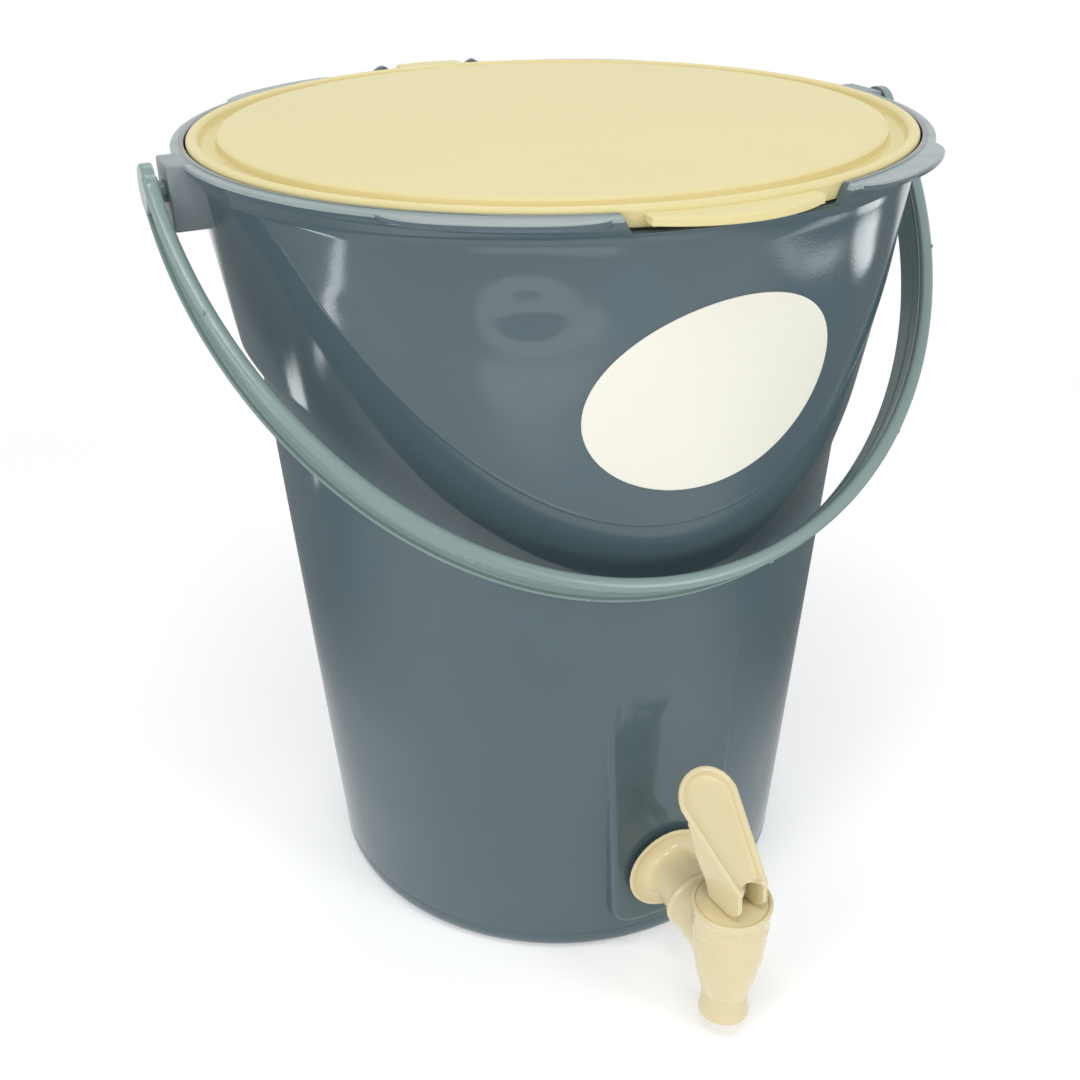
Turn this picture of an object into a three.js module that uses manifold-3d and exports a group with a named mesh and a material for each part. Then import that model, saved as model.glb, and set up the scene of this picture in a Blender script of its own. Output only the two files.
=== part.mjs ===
// A kitchen compost bucket with a drain tap, in millimetres, +Z up.
// The origin is the centre of the flat underside, and the tap faces -Y.
import * as THREE from 'three';
import { mergeVertices } from 'three/addons/utils/BufferGeometryUtils.js';
import Module from 'manifold-3d';

const wasm = await Module();
wasm.setup();

// Clearances
const touchGap = 0.3; // between pieces that rest on each other
const runGap = 0.35; // around a pin or a rod that moves in its hole
const overrun = 2; // how far a cut runs past what it cuts
const weld = 1e-4; // corners closer than this are one

// Bucket
const bucket = {
  round: 72, // facets round the body
  baseRadius: 113,
  baseRound: 6,
  baseRoundShare: 0.3, // where the rounding's middle point lies
  rimHeight: 358.5,
  topRadius: 149,
  wall: 2.4,
  floor: 3,
  lowerSlopeShare: 0.0625,
  panelSlopeShare: 0.125,
  sideSlopeShare: 0.15, // under the lugs
  frontSlopeShare: 0.19, // under the crease at the front and back
  bandFrontDrop: 146.5, // from the rim down to the overhang's middle at the front and back
  bandSideDrop: 87.5, // and under the handle's lugs
  bandTall: 16,
  bandSpread: 24, // how much taller it is halfway between them
  bandDip: 8, // and how much lower
  creaseDrop: 123, // from the rim down to the lowest point of the shield's crease
  creaseHalfAngle: 67, // degrees from the shield's centre to where the crease meets the rim
  shieldTurn: -4, // degrees from the tap to the shield's centre
};
const rimProud = 5; // beyond the body's skin
const collarProud = 2.2;
const ridgeProud = 2.1;
const mouthInset = 0.4;
const rim = {
  radius: bucket.topRadius + rimProud,
  ridgeRadius: bucket.topRadius + ridgeProud,
  ridgeTall: 0.6, // the ring round the mouth above the flange
  flangeTall: 1.8, // the flange's upright edge, above the flare
  lipTall: 6.5, // depth of the notches for the lid's tabs
  collarRadius: bucket.topRadius + collarProud,
  mouthRadius: bucket.topRadius - mouthInset,
  seatDepth: 8.5,
  skinDrop: 3, // from the seat to where the skin's shape ends
  edgeRound: 1,
  notchHalfAngles: [15.4, 8], // at the front and at the back
};
const tabProud = 6; // of the grips, the lugs and the lid's tabs, beyond the rim
const grip = { inner: 17.2, outer: 46.8, reach: rim.radius + tabProud, thick: 2.8, steps: 14 };
const lugDepth = 16;
const lugFace = rim.radius + tabProud;
const lug = { face: lugFace, width: 22, tall: 24.5, root: lugFace - lugDepth, edge: 1, pivotDrop: 11.5 };
const padProud = 6; // beyond the base
const padDepth = 27;
const pad = {
  face: bucket.baseRadius + padProud,
  back: bucket.baseRadius + padProud - padDepth,
  foot: 18,
  top: 165,
  footHalfWidth: 26.5,
  topHalfWidth: 32.5,
  cornerRound: 12,
  edgeRound: 3.5,
};

// Lid
const lidProud = 1.3; // above the rim
const lidGap = 0.6; // to the mouth all round
const ringWide = 5;
const grooveWide = 6.8;
const plugInset = 6.5;
const lidRadius = rim.mouthRadius - lidGap;
const lid = {
  round: 72,
  radius: lidRadius,
  ringInner: lidRadius - ringWide,
  discRadius: lidRadius - ringWide - grooveWide,
  top: bucket.rimHeight + lidProud,
  dome: 2.4,
  domeRadiusShares: [0.6, 0.3], // points of the dome's profile
  domeRiseShares: [0.62, 0.9],
  grooveDepth: 4,
  thick: 2.2,
  edgeRound: 1.5,
  plugRadius: lidRadius - plugInset,
  plugDepth: 17,
  tabHalfWidths: [32.5, 16.8], // at the front and at the back
  turn: -1, // degrees that it sits turned in its notches
  tabReach: rim.radius + tabProud,
  tabDrops: [2.2, 0.5],
  tabThick: 3.2,
  tabFrontRadius: 58,
  tabEdge: 0.6,
};
const sealWide = 2.1;
const seal = { inner: lidRadius - sealWide, height: 2.1 };

// Handle
const handleGap = 3.8; // from a lug's face to the inside of the strip
const handle = {
  pivotHeight: bucket.rimHeight - lug.pivotDrop,
  leanAngle: 42.8, // degrees forward from hanging straight down
  halfSpan: lug.face + handleGap, // inside the strip, at the pivots
  drop: 192, // from the pivots to the inside of the strip's lowest point
  rear: -3.5, // the strip's rear edge, from the pivots' plane
  front: 16.5, // and its front edge
  endFront: 11.5, // the front edge at the pivots
  eyeRadius: 9.2,
  eyeForward: 3,
  webThick: 2.4,
  lipTall: 4.6,
  lipThick: 2.2,
  beadThick: 5,
  beadTall: 5,
  beadInside: 0.8,
  steps: 44,
  pinRadius: 4,
  pinLength: 10,
};

// Tap: the wall fitting's axis lies along Y at tap.height, the valve's axis stands at tap.reach
const tapStandOff = 53; // from the pad's face to the valve's axis
const tap = {
  height: 49.5,
  reach: pad.face + tapStandOff,
  round: 36,
  washerThick: 2,
  washerRadius: 17.5,
  flangeRadius: 21,
  flangeThick: 2.5,
  threadRadius: 12,
  threadLength: 24,
  boreRadius: 8,
  pipeRadius: 12.5,
  pipeLength: 22,
  collarRadius: 14,
  nutFlats: 34,
  nutThick: 8,
  twist: 7, // degrees that the lever and its stem are turned about the valve's axis
};
const valve = {
  foot: 10.5,
  footRadius: 11.2,
  neckHeight: 22.5,
  neckRadius: 9.8,
  waistHeight: 28,
  waistRadius: 11.6,
  bellyHeight: 45,
  bellyRadius: 15,
  top: 74.3,
  topRadius: 17.2,
  lipTall: 4,
  lipProud: 1,
  bonnetRadius: 15.2,
  bonnetThick: 4.3,
  bonnetDrop: 0.7,
  sealThick: 2.1,
  chamberRadius: 13.4,
  chamberFoot: 48,
  seatHeight: 26,
  seatRadius: 5,
  throatRadius: 6,
  outletRadius: 8.6,
};
const plug = { foot: 29, top: 39 };
const stem = { radius: 3.2, foot: 32.5, headWidth: 9, headDepth: 6, headTop: 3.8, headFoot: 3.5 };
const lever = {
  pinHeight: 80.6,
  pinRadius: 1.6,
  pinLength: 13,
  pinRound: 16,
  leanAngle: 49.8, // degrees back from upright when closed
  throwAngle: 65, // degrees of travel to fully open
  lift: 5.2, // stem travel over the whole throw
  camSteps: 8,
  cheekInner: 5.4,
  cheekThick: 2.2,
  cheekBack: 6.5, // back of their flat foot, from the pin
  plateStart: -4.3, // along the paddle, from the pin
  plateLength: 49.6,
  plateFace: 14.8, // outer face of the paddle, from the pin
  plateThick: 4.4,
  plateHalfWidth: 14,
  archRise: 3, // of the paddle's front edge between the cheeks
  trayStart: 4,
  trayDepth: 2.4,
  trayEdge: 2.2,
  flankEndShare: 0.62, // how far up the paddle its flanks reach
};

// Strainer
const strainerClear = 23; // from the fitting's axis up to its top
const strainer = {
  top: tap.height + strainerClear,
  thick: 2.5,
  gap: 2, // to the bucket's wall all round
  legRadius: 5,
  legCount: 6,
  legCircleShare: 0.72,
  legRound: 12,
  holeRadius: 3,
  holeRound: 8,
  holeRings: 4,
  holesFirstRing: 4,
  holesMorePerRing: 6,
  ringPitch: 24,
  round: 48,
};

// Label
const label = { centreX: 0.3, centreDrop: 71, halfWidth: 50.8, halfHeight: 37, tiltAngle: 10, thick: 0.5, round: 48, depth: 60 };

const rad = THREE.MathUtils.degToRad;
const smooth = (t) => THREE.MathUtils.smoothstep(t, 0, 1);

// Solids from closed three.js geometries
function solid(geometry) {
  const bare = new THREE.BufferGeometry();
  bare.setAttribute('position', geometry.getAttribute('position').clone());
  if (geometry.index) bare.setIndex(geometry.index.clone());
  const merged = mergeVertices(bare, weld);
  const source = merged.index.array;
  const kept = [];
  for (let i = 0; i < source.length; i += 3) {
    const [a, b, c] = [source[i], source[i + 1], source[i + 2]];
    if (a !== b && b !== c && c !== a) kept.push(a, b, c);
  }
  const mesh = new wasm.Mesh({
    numProp: 3,
    vertProperties: new Float32Array(merged.getAttribute('position').array),
    triVerts: new Uint32Array(kept),
  });
  return new wasm.Manifold(mesh);
}

function geometryOf(body) {
  const mesh = body.getMesh();
  const geometry = new THREE.BufferGeometry();
  geometry.setAttribute('position', new THREE.BufferAttribute(new Float32Array(mesh.vertProperties), 3));
  geometry.setIndex(Array.from(mesh.triVerts));
  geometry.computeVertexNormals();
  return geometry;
}

const joined = (list) => list.reduce((whole, next) => whole.add(next));

// A profile of [radius, height] points turned about Z; it runs from the foot of the outside upwards
function spun(points, round) {
  const profile = points.map(([r, z]) => new THREE.Vector2(r, z));
  const geometry = new THREE.LatheGeometry(profile, round);
  geometry.rotateX(Math.PI / 2);
  return geometry;
}

const upright = (points, round) => solid(spun(points, round));

function rod(radius, length, round) {
  return new THREE.CylinderGeometry(radius, radius, length, round);
}

// An outline in the XY plane, extruded up by a height
function slab(shape, height, foot, bevel = 0) {
  const geometry = new THREE.ExtrudeGeometry(shape, {
    depth: height - 2 * bevel,
    bevelEnabled: bevel > 0,
    bevelSize: bevel,
    bevelThickness: bevel,
    bevelOffset: -bevel,
    bevelSegments: 2,
    curveSegments: 6,
  });
  geometry.translate(0, 0, foot + bevel);
  return geometry;
}

const polygon = (points) => new THREE.Shape(points.map(([x, y]) => new THREE.Vector2(x, y)));

// Angle in degrees from the nearer shield's centre, front or back
function foldAngle(azimuth) {
  return Math.abs(THREE.MathUtils.radToDeg(Math.asin(Math.sin(azimuth))));
}

const bandMiddle = bucket.rimHeight - (bucket.bandSideDrop + bucket.bandFrontDrop) / 2;

// Height of the overhang's middle at an azimuth from the shield's centre
function bandHeight(azimuth) {
  const swing = ((bucket.bandFrontDrop - bucket.bandSideDrop) / 2) * Math.cos(2 * azimuth);
  return bandMiddle - swing - bucket.bandDip * Math.sin(2 * azimuth) ** 2;
}

// Outer radius of the body at an azimuth from the shield's centre and a height
function skinRadius(azimuth, z) {
  const lower = bucket.baseRadius + bucket.lowerSlopeShare * z;
  const climb = bucket.creaseDrop * (foldAngle(azimuth) / bucket.creaseHalfAngle) ** 2;
  const crease = Math.min(bucket.rimHeight, bucket.rimHeight - bucket.creaseDrop + climb);
  const above = bucket.rimHeight - Math.max(z, crease);
  const below = Math.max(0, crease - z);
  const steeper = (bucket.frontSlopeShare - bucket.sideSlopeShare) * Math.cos(azimuth) ** 2;
  const upper = bucket.topRadius - bucket.panelSlopeShare * above - (bucket.sideSlopeShare + steeper) * below;
  const tall = bucket.bandTall + bucket.bandSpread * Math.sin(2 * azimuth) ** 2;
  return lower + smooth((z - bandHeight(azimuth)) / tall + 0.5) * (upper - lower);
}

// Heights of the rings that carry the skin; rings near the band follow its rise to the sides
const bandShares = [-0.5, -0.22, 0, 0.22, 0.5];
const ringShares = [0.3, 0.6, 1];
const bandReachShare = 1.5; // how far from the band's middle its own rings end
const skinTop = bucket.rimHeight - rim.seatDepth - rim.skinDrop;
function ringHeights() {
  const low = bandMiddle - bandReachShare * bucket.bandTall;
  const rise = ringShares.map((share) => bucket.baseRound + (low - bucket.baseRound) * share);
  const band = bandShares.map((share) => bandMiddle + share * bucket.bandTall);
  const crest = bandMiddle + bandReachShare * bucket.bandTall;
  return [...rise, ...band, crest, (crest + skinTop) / 2, skinTop];
}

// The body's skin pushed out by an offset, as a solid from the foot height to the top height
function skinSolid(offset, foot, footRound, mouth) {
  const heights = ringHeights();
  const step = footRound * bucket.baseRoundShare;
  const profile = [[0, foot], [bucket.baseRadius - footRound, foot]];
  if (footRound > 0) profile.push([bucket.baseRadius - step, foot + step]);
  profile.push([bucket.baseRadius, bucket.baseRound], ...heights.map((z) => [bucket.baseRadius, z]));
  const skinned = profile.length;
  profile.push(...mouth, [0, mouth[mouth.length - 1][1]]);
  const geometry = spun(profile, bucket.round);
  const position = geometry.getAttribute('position');
  const perRing = profile.length;
  for (let i = 0; i < position.count; i += 1) {
    const row = i % perRing;
    if (row === 0 || row >= skinned) continue;
    const x = position.getX(i);
    const y = position.getY(i);
    const azimuth = Math.atan2(x, -y);
    const turned = azimuth - rad(bucket.shieldTurn);
    const z = profile[row][1];
    const reach = bandMiddle - bucket.baseRound;
    const near = z < bandMiddle ? smooth((z - bucket.baseRound) / reach) : smooth((skinTop - z) / (skinTop - bandMiddle));
    const lifted = z + near * (bandHeight(turned) - bandMiddle);
    const inset = bucket.baseRadius - profile[row][0];
    const radius = skinRadius(turned, lifted) - inset + offset;
    position.setXYZ(i, radius * Math.sin(azimuth), -radius * Math.cos(azimuth), lifted);
  }
  return solid(geometry);
}

// Flat pad for the tap: an upright face with drafted sides and rounded lower corners
function padSolid(inset) {
  const [footHalf, topHalf] = [pad.footHalfWidth - inset, pad.topHalfWidth - inset];
  const foot = pad.foot + inset;
  const corner = pad.cornerRound - inset;
  const front = new THREE.Shape();
  front.moveTo(-footHalf + corner, foot);
  front.lineTo(footHalf - corner, foot);
  front.absarc(footHalf - corner, foot + corner, corner, -Math.PI / 2, 0, false);
  front.lineTo(topHalf, pad.top);
  front.lineTo(-topHalf, pad.top);
  front.lineTo(-footHalf, foot + corner);
  front.absarc(-footHalf + corner, foot + corner, corner, Math.PI, Math.PI * 1.5, false);
  const block = slab(front, pad.face - inset - pad.back, pad.back, pad.edgeRound - inset);
  block.rotateX(Math.PI / 2);
  return solid(block);
}

function lugSolid(side) {
  const shape = polygon([
    [lug.root, -lug.width / 2],
    [lug.face, -lug.width / 2],
    [lug.face, lug.width / 2],
    [lug.root, lug.width / 2],
  ]);
  const block = slab(shape, lug.tall, bucket.rimHeight - lug.tall, lug.edge);
  if (side < 0) block.rotateZ(Math.PI);
  return solid(block);
}

// One of the four crescent grips on the rim
function gripSolid(centre) {
  const points = [];
  const inside = rim.collarRadius - rim.edgeRound;
  for (let i = 0; i <= grip.steps; i += 1) {
    const t = i / grip.steps;
    const azimuth = rad(grip.inner + (grip.outer - grip.inner) * t);
    const swell = Math.sqrt(1 - Math.abs(2 * t - 1) ** 4);
    const radius = inside + (grip.reach - inside) * swell;
    points.push([radius * Math.sin(azimuth), -radius * Math.cos(azimuth)]);
  }
  for (let i = grip.steps - 1; i > 0; i -= 1) {
    const azimuth = rad(grip.inner + (grip.outer - grip.inner) * (i / grip.steps));
    points.push([(inside - overrun) * Math.sin(azimuth), -(inside - overrun) * Math.cos(azimuth)]);
  }
  const plate = slab(polygon(points), grip.thick, bucket.rimHeight - rim.ridgeTall - grip.thick);
  if (centre.mirrored) plate.scale(-1, 1, 1);
  if (centre.mirrored) flipFaces(plate);
  plate.rotateZ(centre.turn);
  return solid(plate);
}

function flipFaces(geometry) {
  const position = geometry.getAttribute('position');
  const array = position.array;
  for (let i = 0; i < array.length; i += 9) {
    for (let k = 0; k < 3; k += 1) {
      const held = array[i + 3 + k];
      array[i + 3 + k] = array[i + 6 + k];
      array[i + 6 + k] = held;
    }
  }
}

// A wedge of a ring, centred on the front, from one radius to another
function sector(halfAngle, inner, outer, foot, height, steps = 10) {
  const points = [];
  for (let i = 0; i <= steps; i += 1) {
    const azimuth = rad(-halfAngle + (2 * halfAngle * i) / steps);
    points.push([outer * Math.sin(azimuth), -outer * Math.cos(azimuth)]);
  }
  for (let i = steps; i >= 0; i -= 1) {
    const azimuth = rad(-halfAngle + (2 * halfAngle * i) / steps);
    points.push([inner * Math.sin(azimuth), -inner * Math.cos(azimuth)]);
  }
  return slab(polygon(points), height, foot);
}

function bucketSolid() {
  const top = bucket.rimHeight;
  const lipFoot = top - rim.lipTall;
  const flangeTop = top - rim.ridgeTall;
  const outside = [
    [rim.collarRadius, lipFoot],
    [rim.radius, flangeTop - rim.flangeTall],
    [rim.radius, flangeTop - rim.edgeRound / 2],
    [rim.radius - rim.edgeRound / 2, flangeTop],
    [rim.ridgeRadius, flangeTop],
    [rim.ridgeRadius, top],
  ];
  const cavityTop = [
    [rim.mouthRadius, top - rim.seatDepth],
    [rim.mouthRadius, top - rim.edgeRound],
    [rim.mouthRadius + rim.edgeRound, top],
    [rim.mouthRadius + rim.edgeRound, top + overrun],
  ];
  let shell = skinSolid(0, 0, bucket.baseRound, outside).add(padSolid(0));
  for (const side of [1, -1]) shell = shell.add(lugSolid(side));
  for (const turn of [0, Math.PI]) {
    for (const mirrored of [false, true]) shell = shell.add(gripSolid({ turn, mirrored }));
  }
  const hollow = skinSolid(-bucket.wall, bucket.floor, 0, cavityTop).add(padSolid(bucket.wall));
  shell = shell.subtract(hollow);
  for (const [k, halfAngle] of rim.notchHalfAngles.entries()) {
    const notch = sector(halfAngle, rim.mouthRadius - overrun, rim.radius + overrun, lipFoot, rim.lipTall + overrun);
    notch.rotateZ(k * Math.PI);
    shell = shell.subtract(solid(notch));
  }
  const hole = rod(tap.threadRadius + touchGap, pad.face, tap.round);
  hole.translate(0, -pad.face, tap.height);
  shell = shell.subtract(solid(hole));
  const socketDepth = handle.pinLength + runGap + overrun;
  for (const side of [1, -1]) {
    const socket = rod(handle.pinRadius + runGap, socketDepth, tap.round);
    socket.rotateZ(Math.PI / 2);
    socket.translate(side * (handle.halfSpan - handle.pinLength - runGap + socketDepth / 2), 0, handle.pivotHeight);
    shell = shell.subtract(solid(socket));
  }
  return shell;
}

// A tab with a rounded front, at the foot of the lid's ring
function tabSolid(half, drop, turn) {
  const { tabFrontRadius: front, plugRadius: root } = lid;
  const swing = Math.asin(half / front);
  const shape = new THREE.Shape();
  shape.moveTo(half, -root);
  shape.lineTo(-half, -root);
  shape.absarc(0, front - lid.tabReach, front, -Math.PI / 2 - swing, -Math.PI / 2 + swing, false);
  shape.lineTo(half, -root);
  const tab = slab(shape, lid.tabThick, lid.top - drop - lid.tabThick, lid.tabEdge);
  tab.rotateZ(turn);
  return solid(tab);
}

function lidSolid() {
  const { top, thick, edgeRound: edge } = lid;
  const ringFoot = bucket.rimHeight - rim.seatDepth + seal.height + 2 * touchGap;
  const grooveFoot = top - lid.grooveDepth;
  const dome = lid.domeRadiusShares.map((share, k) => [lid.discRadius * share, top + lid.dome * lid.domeRiseShares[k]]);
  const plate = upright(
    [
      [0, top + lid.dome - thick],
      [dome[0][0], dome[0][1] - thick],
      [lid.discRadius - thick, top - edge - thick],
      [lid.discRadius - thick, grooveFoot - thick],
      [lid.plugRadius - thick, grooveFoot - thick],
      [lid.plugRadius - thick, top - lid.plugDepth],
      [lid.plugRadius, top - lid.plugDepth],
      [lid.plugRadius, ringFoot],
      [lid.radius, ringFoot],
      [lid.radius, top - edge],
      [lid.radius - edge, top],
      [lid.ringInner + edge, top],
      [lid.ringInner, top - edge],
      [lid.ringInner - edge / 2, grooveFoot],
      [lid.discRadius + edge / 2, grooveFoot],
      [lid.discRadius, top - edge],
      [lid.discRadius - edge, top],
      ...dome,
      [0, top + lid.dome],
    ],
    lid.round,
  );
  const tabs = lid.tabHalfWidths.map((half, k) => tabSolid(half, lid.tabDrops[k], rad(lid.turn) + k * Math.PI));
  return joined([plate, ...tabs]);
}

function sealSolid() {
  const foot = bucket.rimHeight - rim.seatDepth + touchGap;
  const outer = rim.mouthRadius - touchGap;
  const top = foot + seal.height;
  return upright([[seal.inner, foot], [outer, foot], [outer, top], [seal.inner, top], [seal.inner, foot]], lid.round);
}

// The handle is a channel strip with a bead along its front edge, swept along half an ellipse
// between the pivots; local Z points forward, square to the strip's plane
function handleSolid() {
  const { halfSpan, drop, front, rear, webThick, beadThick, beadTall, beadInside } = handle;
  const path = new THREE.EllipseCurve(0, 0, halfSpan, drop, 0, -Math.PI, true);
  const spine = new THREE.CatmullRomCurve3(path.getPoints(handle.steps).map((p) => new THREE.Vector3(p.x, p.y, 0)));
  const beadRear = front - beadThick;
  const round = beadThick / 4;
  const section = [
    [rear, 0],
    [rear, handle.lipTall],
    [rear + handle.lipThick, handle.lipTall],
    [rear + handle.lipThick, webThick],
    [beadRear, webThick],
    [beadRear + round, beadTall],
    [front - round, beadTall],
    [front, beadTall - round],
    [front, round - beadInside],
    [front - round, -beadInside],
    [beadRear + round, -beadInside],
    [beadRear, 0],
  ];
  const outline = polygon(section.map(([forward, outward]) => [-forward, outward]));
  const strip = new THREE.ExtrudeGeometry(outline, { steps: handle.steps, extrudePath: spine, bevelEnabled: false });
  const place = strip.getAttribute('position');
  for (let i = 0; i < place.count; i += 1) {
    const climb = Math.max(0, 1 + place.getY(i) / drop);
    const forward = place.getZ(i);
    const narrowing = ((front - handle.endFront) / (front - rear)) * climb ** 3;
    place.setZ(i, forward - (forward - rear) * narrowing);
  }
  const parts = [solid(strip)];
  for (const side of [1, -1]) {
    const eye = rod(handle.eyeRadius, handle.lipTall, tap.round);
    eye.rotateZ(Math.PI / 2);
    eye.translate(side * (halfSpan + handle.lipTall / 2), 0, handle.eyeForward);
    const pin = rod(handle.pinRadius, handle.pinLength + webThick, tap.round);
    pin.rotateZ(Math.PI / 2);
    pin.translate(side * (halfSpan + (webThick - handle.pinLength) / 2), 0, 0);
    parts.push(solid(eye), solid(pin));
  }
  return joined(parts);
}

function strainerSolid() {
  const foot = strainer.top - strainer.thick;
  const radius = bucket.baseRadius + bucket.lowerSlopeShare * foot - bucket.wall - strainer.gap;
  let plate = upright([[0, foot], [radius, foot], [radius, strainer.top], [0, strainer.top]], strainer.round);
  for (let k = 0; k < strainer.legCount; k += 1) {
    const turn = (2 * Math.PI * (k + 0.5)) / strainer.legCount;
    const tall = foot - bucket.floor - touchGap + strainer.thick / 2;
    const leg = rod(strainer.legRadius, tall, strainer.legRound);
    leg.rotateX(Math.PI / 2);
    const circle = radius * strainer.legCircleShare;
    leg.translate(circle * Math.cos(turn), circle * Math.sin(turn), bucket.floor + touchGap + tall / 2);
    plate = plate.add(solid(leg));
  }
  for (let ring = 0; ring < strainer.holeRings; ring += 1) {
    const circle = strainer.ringPitch * (ring + 0.5);
    const count = strainer.holesFirstRing + strainer.holesMorePerRing * ring;
    for (let k = 0; k < count; k += 1) {
      const turn = (2 * Math.PI * (k + 0.5 * (ring % 2))) / count;
      const hole = rod(strainer.holeRadius, strainer.thick + 2 * overrun, strainer.holeRound);
      hole.rotateX(Math.PI / 2);
      hole.translate(circle * Math.cos(turn), circle * Math.sin(turn), foot + strainer.thick / 2);
      const fromLegs = Math.abs(circle - radius * strainer.legCircleShare);
      if (fromLegs > strainer.legRadius + strainer.holeRadius) plate = plate.subtract(solid(hole));
    }
  }
  return plate;
}

// Places along the wall fitting, from the pad's face outwards and inwards
const washerFace = pad.face + touchGap + tap.washerThick;
const flangeBack = washerFace + touchGap;
const flangeFace = flangeBack + tap.flangeThick;
const innerWall = pad.face - bucket.wall;
const innerWasherFace = innerWall - touchGap - tap.washerThick;
const nutBack = innerWasherFace - touchGap;
const nutFace = nutBack - tap.nutThick;

// A profile of [radius, distance out from the axis] turned about the wall fitting's axis
function fitting(points, round = tap.round) {
  const geometry = spun(points, round);
  geometry.rotateX(Math.PI / 2);
  geometry.translate(0, 0, tap.height);
  return solid(geometry);
}

function ringProfile(inner, outer, start, end) {
  return [[inner, start], [outer, start], [outer, end], [inner, end], [inner, start]];
}

// A profile of [radius, height] turned about the valve's upright axis
function onValve(points, round = tap.round) {
  const geometry = spun(points, round);
  geometry.translate(0, -tap.reach, 0);
  return solid(geometry);
}

const seatSlope = (valve.chamberRadius - valve.seatRadius) / (valve.chamberFoot - valve.seatHeight);
const bonnetTop = valve.top - valve.bonnetDrop;
const bonnetFoot = bonnetTop - valve.bonnetThick;
const ledge = bonnetFoot - 2 * touchGap - valve.sealThick;

function tapBodySolid() {
  const threadEnd = flangeBack - tap.threadLength;
  const pipe = fitting([
    [0, threadEnd],
    [tap.threadRadius, threadEnd],
    [tap.threadRadius, flangeBack],
    [tap.flangeRadius, flangeBack],
    [tap.flangeRadius, flangeFace - tap.flangeThick / 2],
    [tap.pipeRadius + tap.flangeThick, flangeFace],
    [tap.pipeRadius, flangeFace + tap.flangeThick],
    [tap.pipeRadius, flangeFace + tap.pipeLength],
    [tap.collarRadius, flangeFace + tap.pipeLength],
    [tap.collarRadius, tap.reach],
    [0, tap.reach],
  ]);
  const cup = onValve([
    [0, valve.foot],
    [valve.footRadius, valve.foot],
    [(valve.footRadius + valve.neckRadius) / 2, (valve.foot + valve.neckHeight) / 2],
    [valve.neckRadius, valve.neckHeight],
    [valve.waistRadius, valve.waistHeight],
    [valve.bellyRadius, valve.bellyHeight],
    [valve.topRadius - valve.lipProud, valve.top - valve.lipTall - valve.lipProud],
    [valve.topRadius, valve.top - valve.lipTall],
    [valve.topRadius, valve.top],
    [0, valve.top],
  ]);
  const bonnetBore = valve.bonnetRadius + touchGap;
  const chamber = onValve([
    [0, valve.foot - overrun],
    [valve.outletRadius, valve.foot - overrun],
    [valve.outletRadius, valve.foot],
    [valve.throatRadius, valve.neckHeight],
    [valve.seatRadius, valve.seatHeight],
    [valve.chamberRadius, valve.chamberFoot],
    [valve.chamberRadius, ledge],
    [bonnetBore, ledge],
    [bonnetBore, valve.top + overrun],
    [0, valve.top + overrun],
  ]);
  const bore = fitting([
    [0, threadEnd - overrun],
    [tap.boreRadius, threadEnd - overrun],
    [tap.boreRadius, tap.reach],
    [0, tap.reach],
  ]);
  return pipe.add(cup).subtract(chamber).subtract(bore);
}

function nutSolid() {
  const corner = tap.nutFlats / 2 / Math.cos(Math.PI / 6);
  const hex = new THREE.CylinderGeometry(corner, corner, tap.nutThick, 6);
  hex.translate(0, -(nutFace + nutBack) / 2, tap.height);
  const hole = rod(tap.threadRadius + touchGap, tap.nutThick + 2 * overrun, tap.round);
  hole.translate(0, -(nutFace + nutBack) / 2, tap.height);
  return solid(hex).subtract(solid(hole));
}

const washerSolid = (start, end) => fitting(ringProfile(tap.threadRadius + touchGap, tap.washerRadius, start, end));
const stemBore = stem.radius + runGap;

const bonnetSolid = () => onValve(ringProfile(stemBore, valve.bonnetRadius, bonnetFoot, bonnetTop));
const bonnetSealSolid = () => onValve(ringProfile(stemBore, valve.bonnetRadius, ledge + touchGap, bonnetFoot - touchGap));

function plugSolid() {
  const coneRadius = (z) => valve.seatRadius + (z - valve.seatHeight) * seatSlope - touchGap;
  const hole = stem.radius + touchGap;
  return onValve([
    [0, plug.foot],
    [coneRadius(plug.foot), plug.foot],
    [coneRadius(plug.top), plug.top],
    [hole, plug.top],
    [hole, stem.foot - touchGap],
    [0, stem.foot - touchGap],
  ]);
}

// A geometry drawn about the lever's pin, put in its place on the valve
function atPin(geometry) {
  geometry.rotateZ(rad(tap.twist));
  geometry.translate(0, -tap.reach, lever.pinHeight);
  return solid(geometry);
}

function pinRod(radius, length) {
  const pin = rod(radius, length, lever.pinRound);
  pin.rotateZ(Math.PI / 2);
  return atPin(pin);
}

const pinHole = () => pinRod(lever.pinRadius + runGap, lever.pinLength + 2 * touchGap);
const pinSolid = () => pinRod(lever.pinRadius, lever.pinLength);

function stemSolid() {
  const shaft = onValve([
    [0, stem.foot],
    [stem.radius, stem.foot],
    [stem.radius, lever.pinHeight],
    [0, lever.pinHeight],
  ]);
  const head = new THREE.BoxGeometry(stem.headWidth, stem.headDepth, stem.headTop + stem.headFoot);
  head.translate(0, 0, (stem.headTop - stem.headFoot) / 2);
  return shaft.add(atPin(head)).subtract(pinHole());
}

// The paddle is drawn with Y along it and Z out of its face, then leaned back
const paddleLean = new THREE.Matrix4().makeRotationX(Math.PI / 2 - rad(lever.leanAngle));

function paddleOutline(inset, start, archRise) {
  const base = lever.cheekInner + lever.cheekThick - inset;
  const end = lever.plateHalfWidth - inset;
  const tip = lever.plateLength - lever.plateHalfWidth;
  const shape = new THREE.Shape();
  shape.moveTo(base, start);
  shape.lineTo(end, tip);
  shape.absarc(0, tip, end, 0, Math.PI, false);
  shape.lineTo(-base, start);
  if (archRise > 0) {
    shape.lineTo(-lever.cheekInner, start);
    shape.quadraticCurveTo(0, start + 2 * archRise, lever.cheekInner, start);
  }
  return shape;
}

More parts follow.
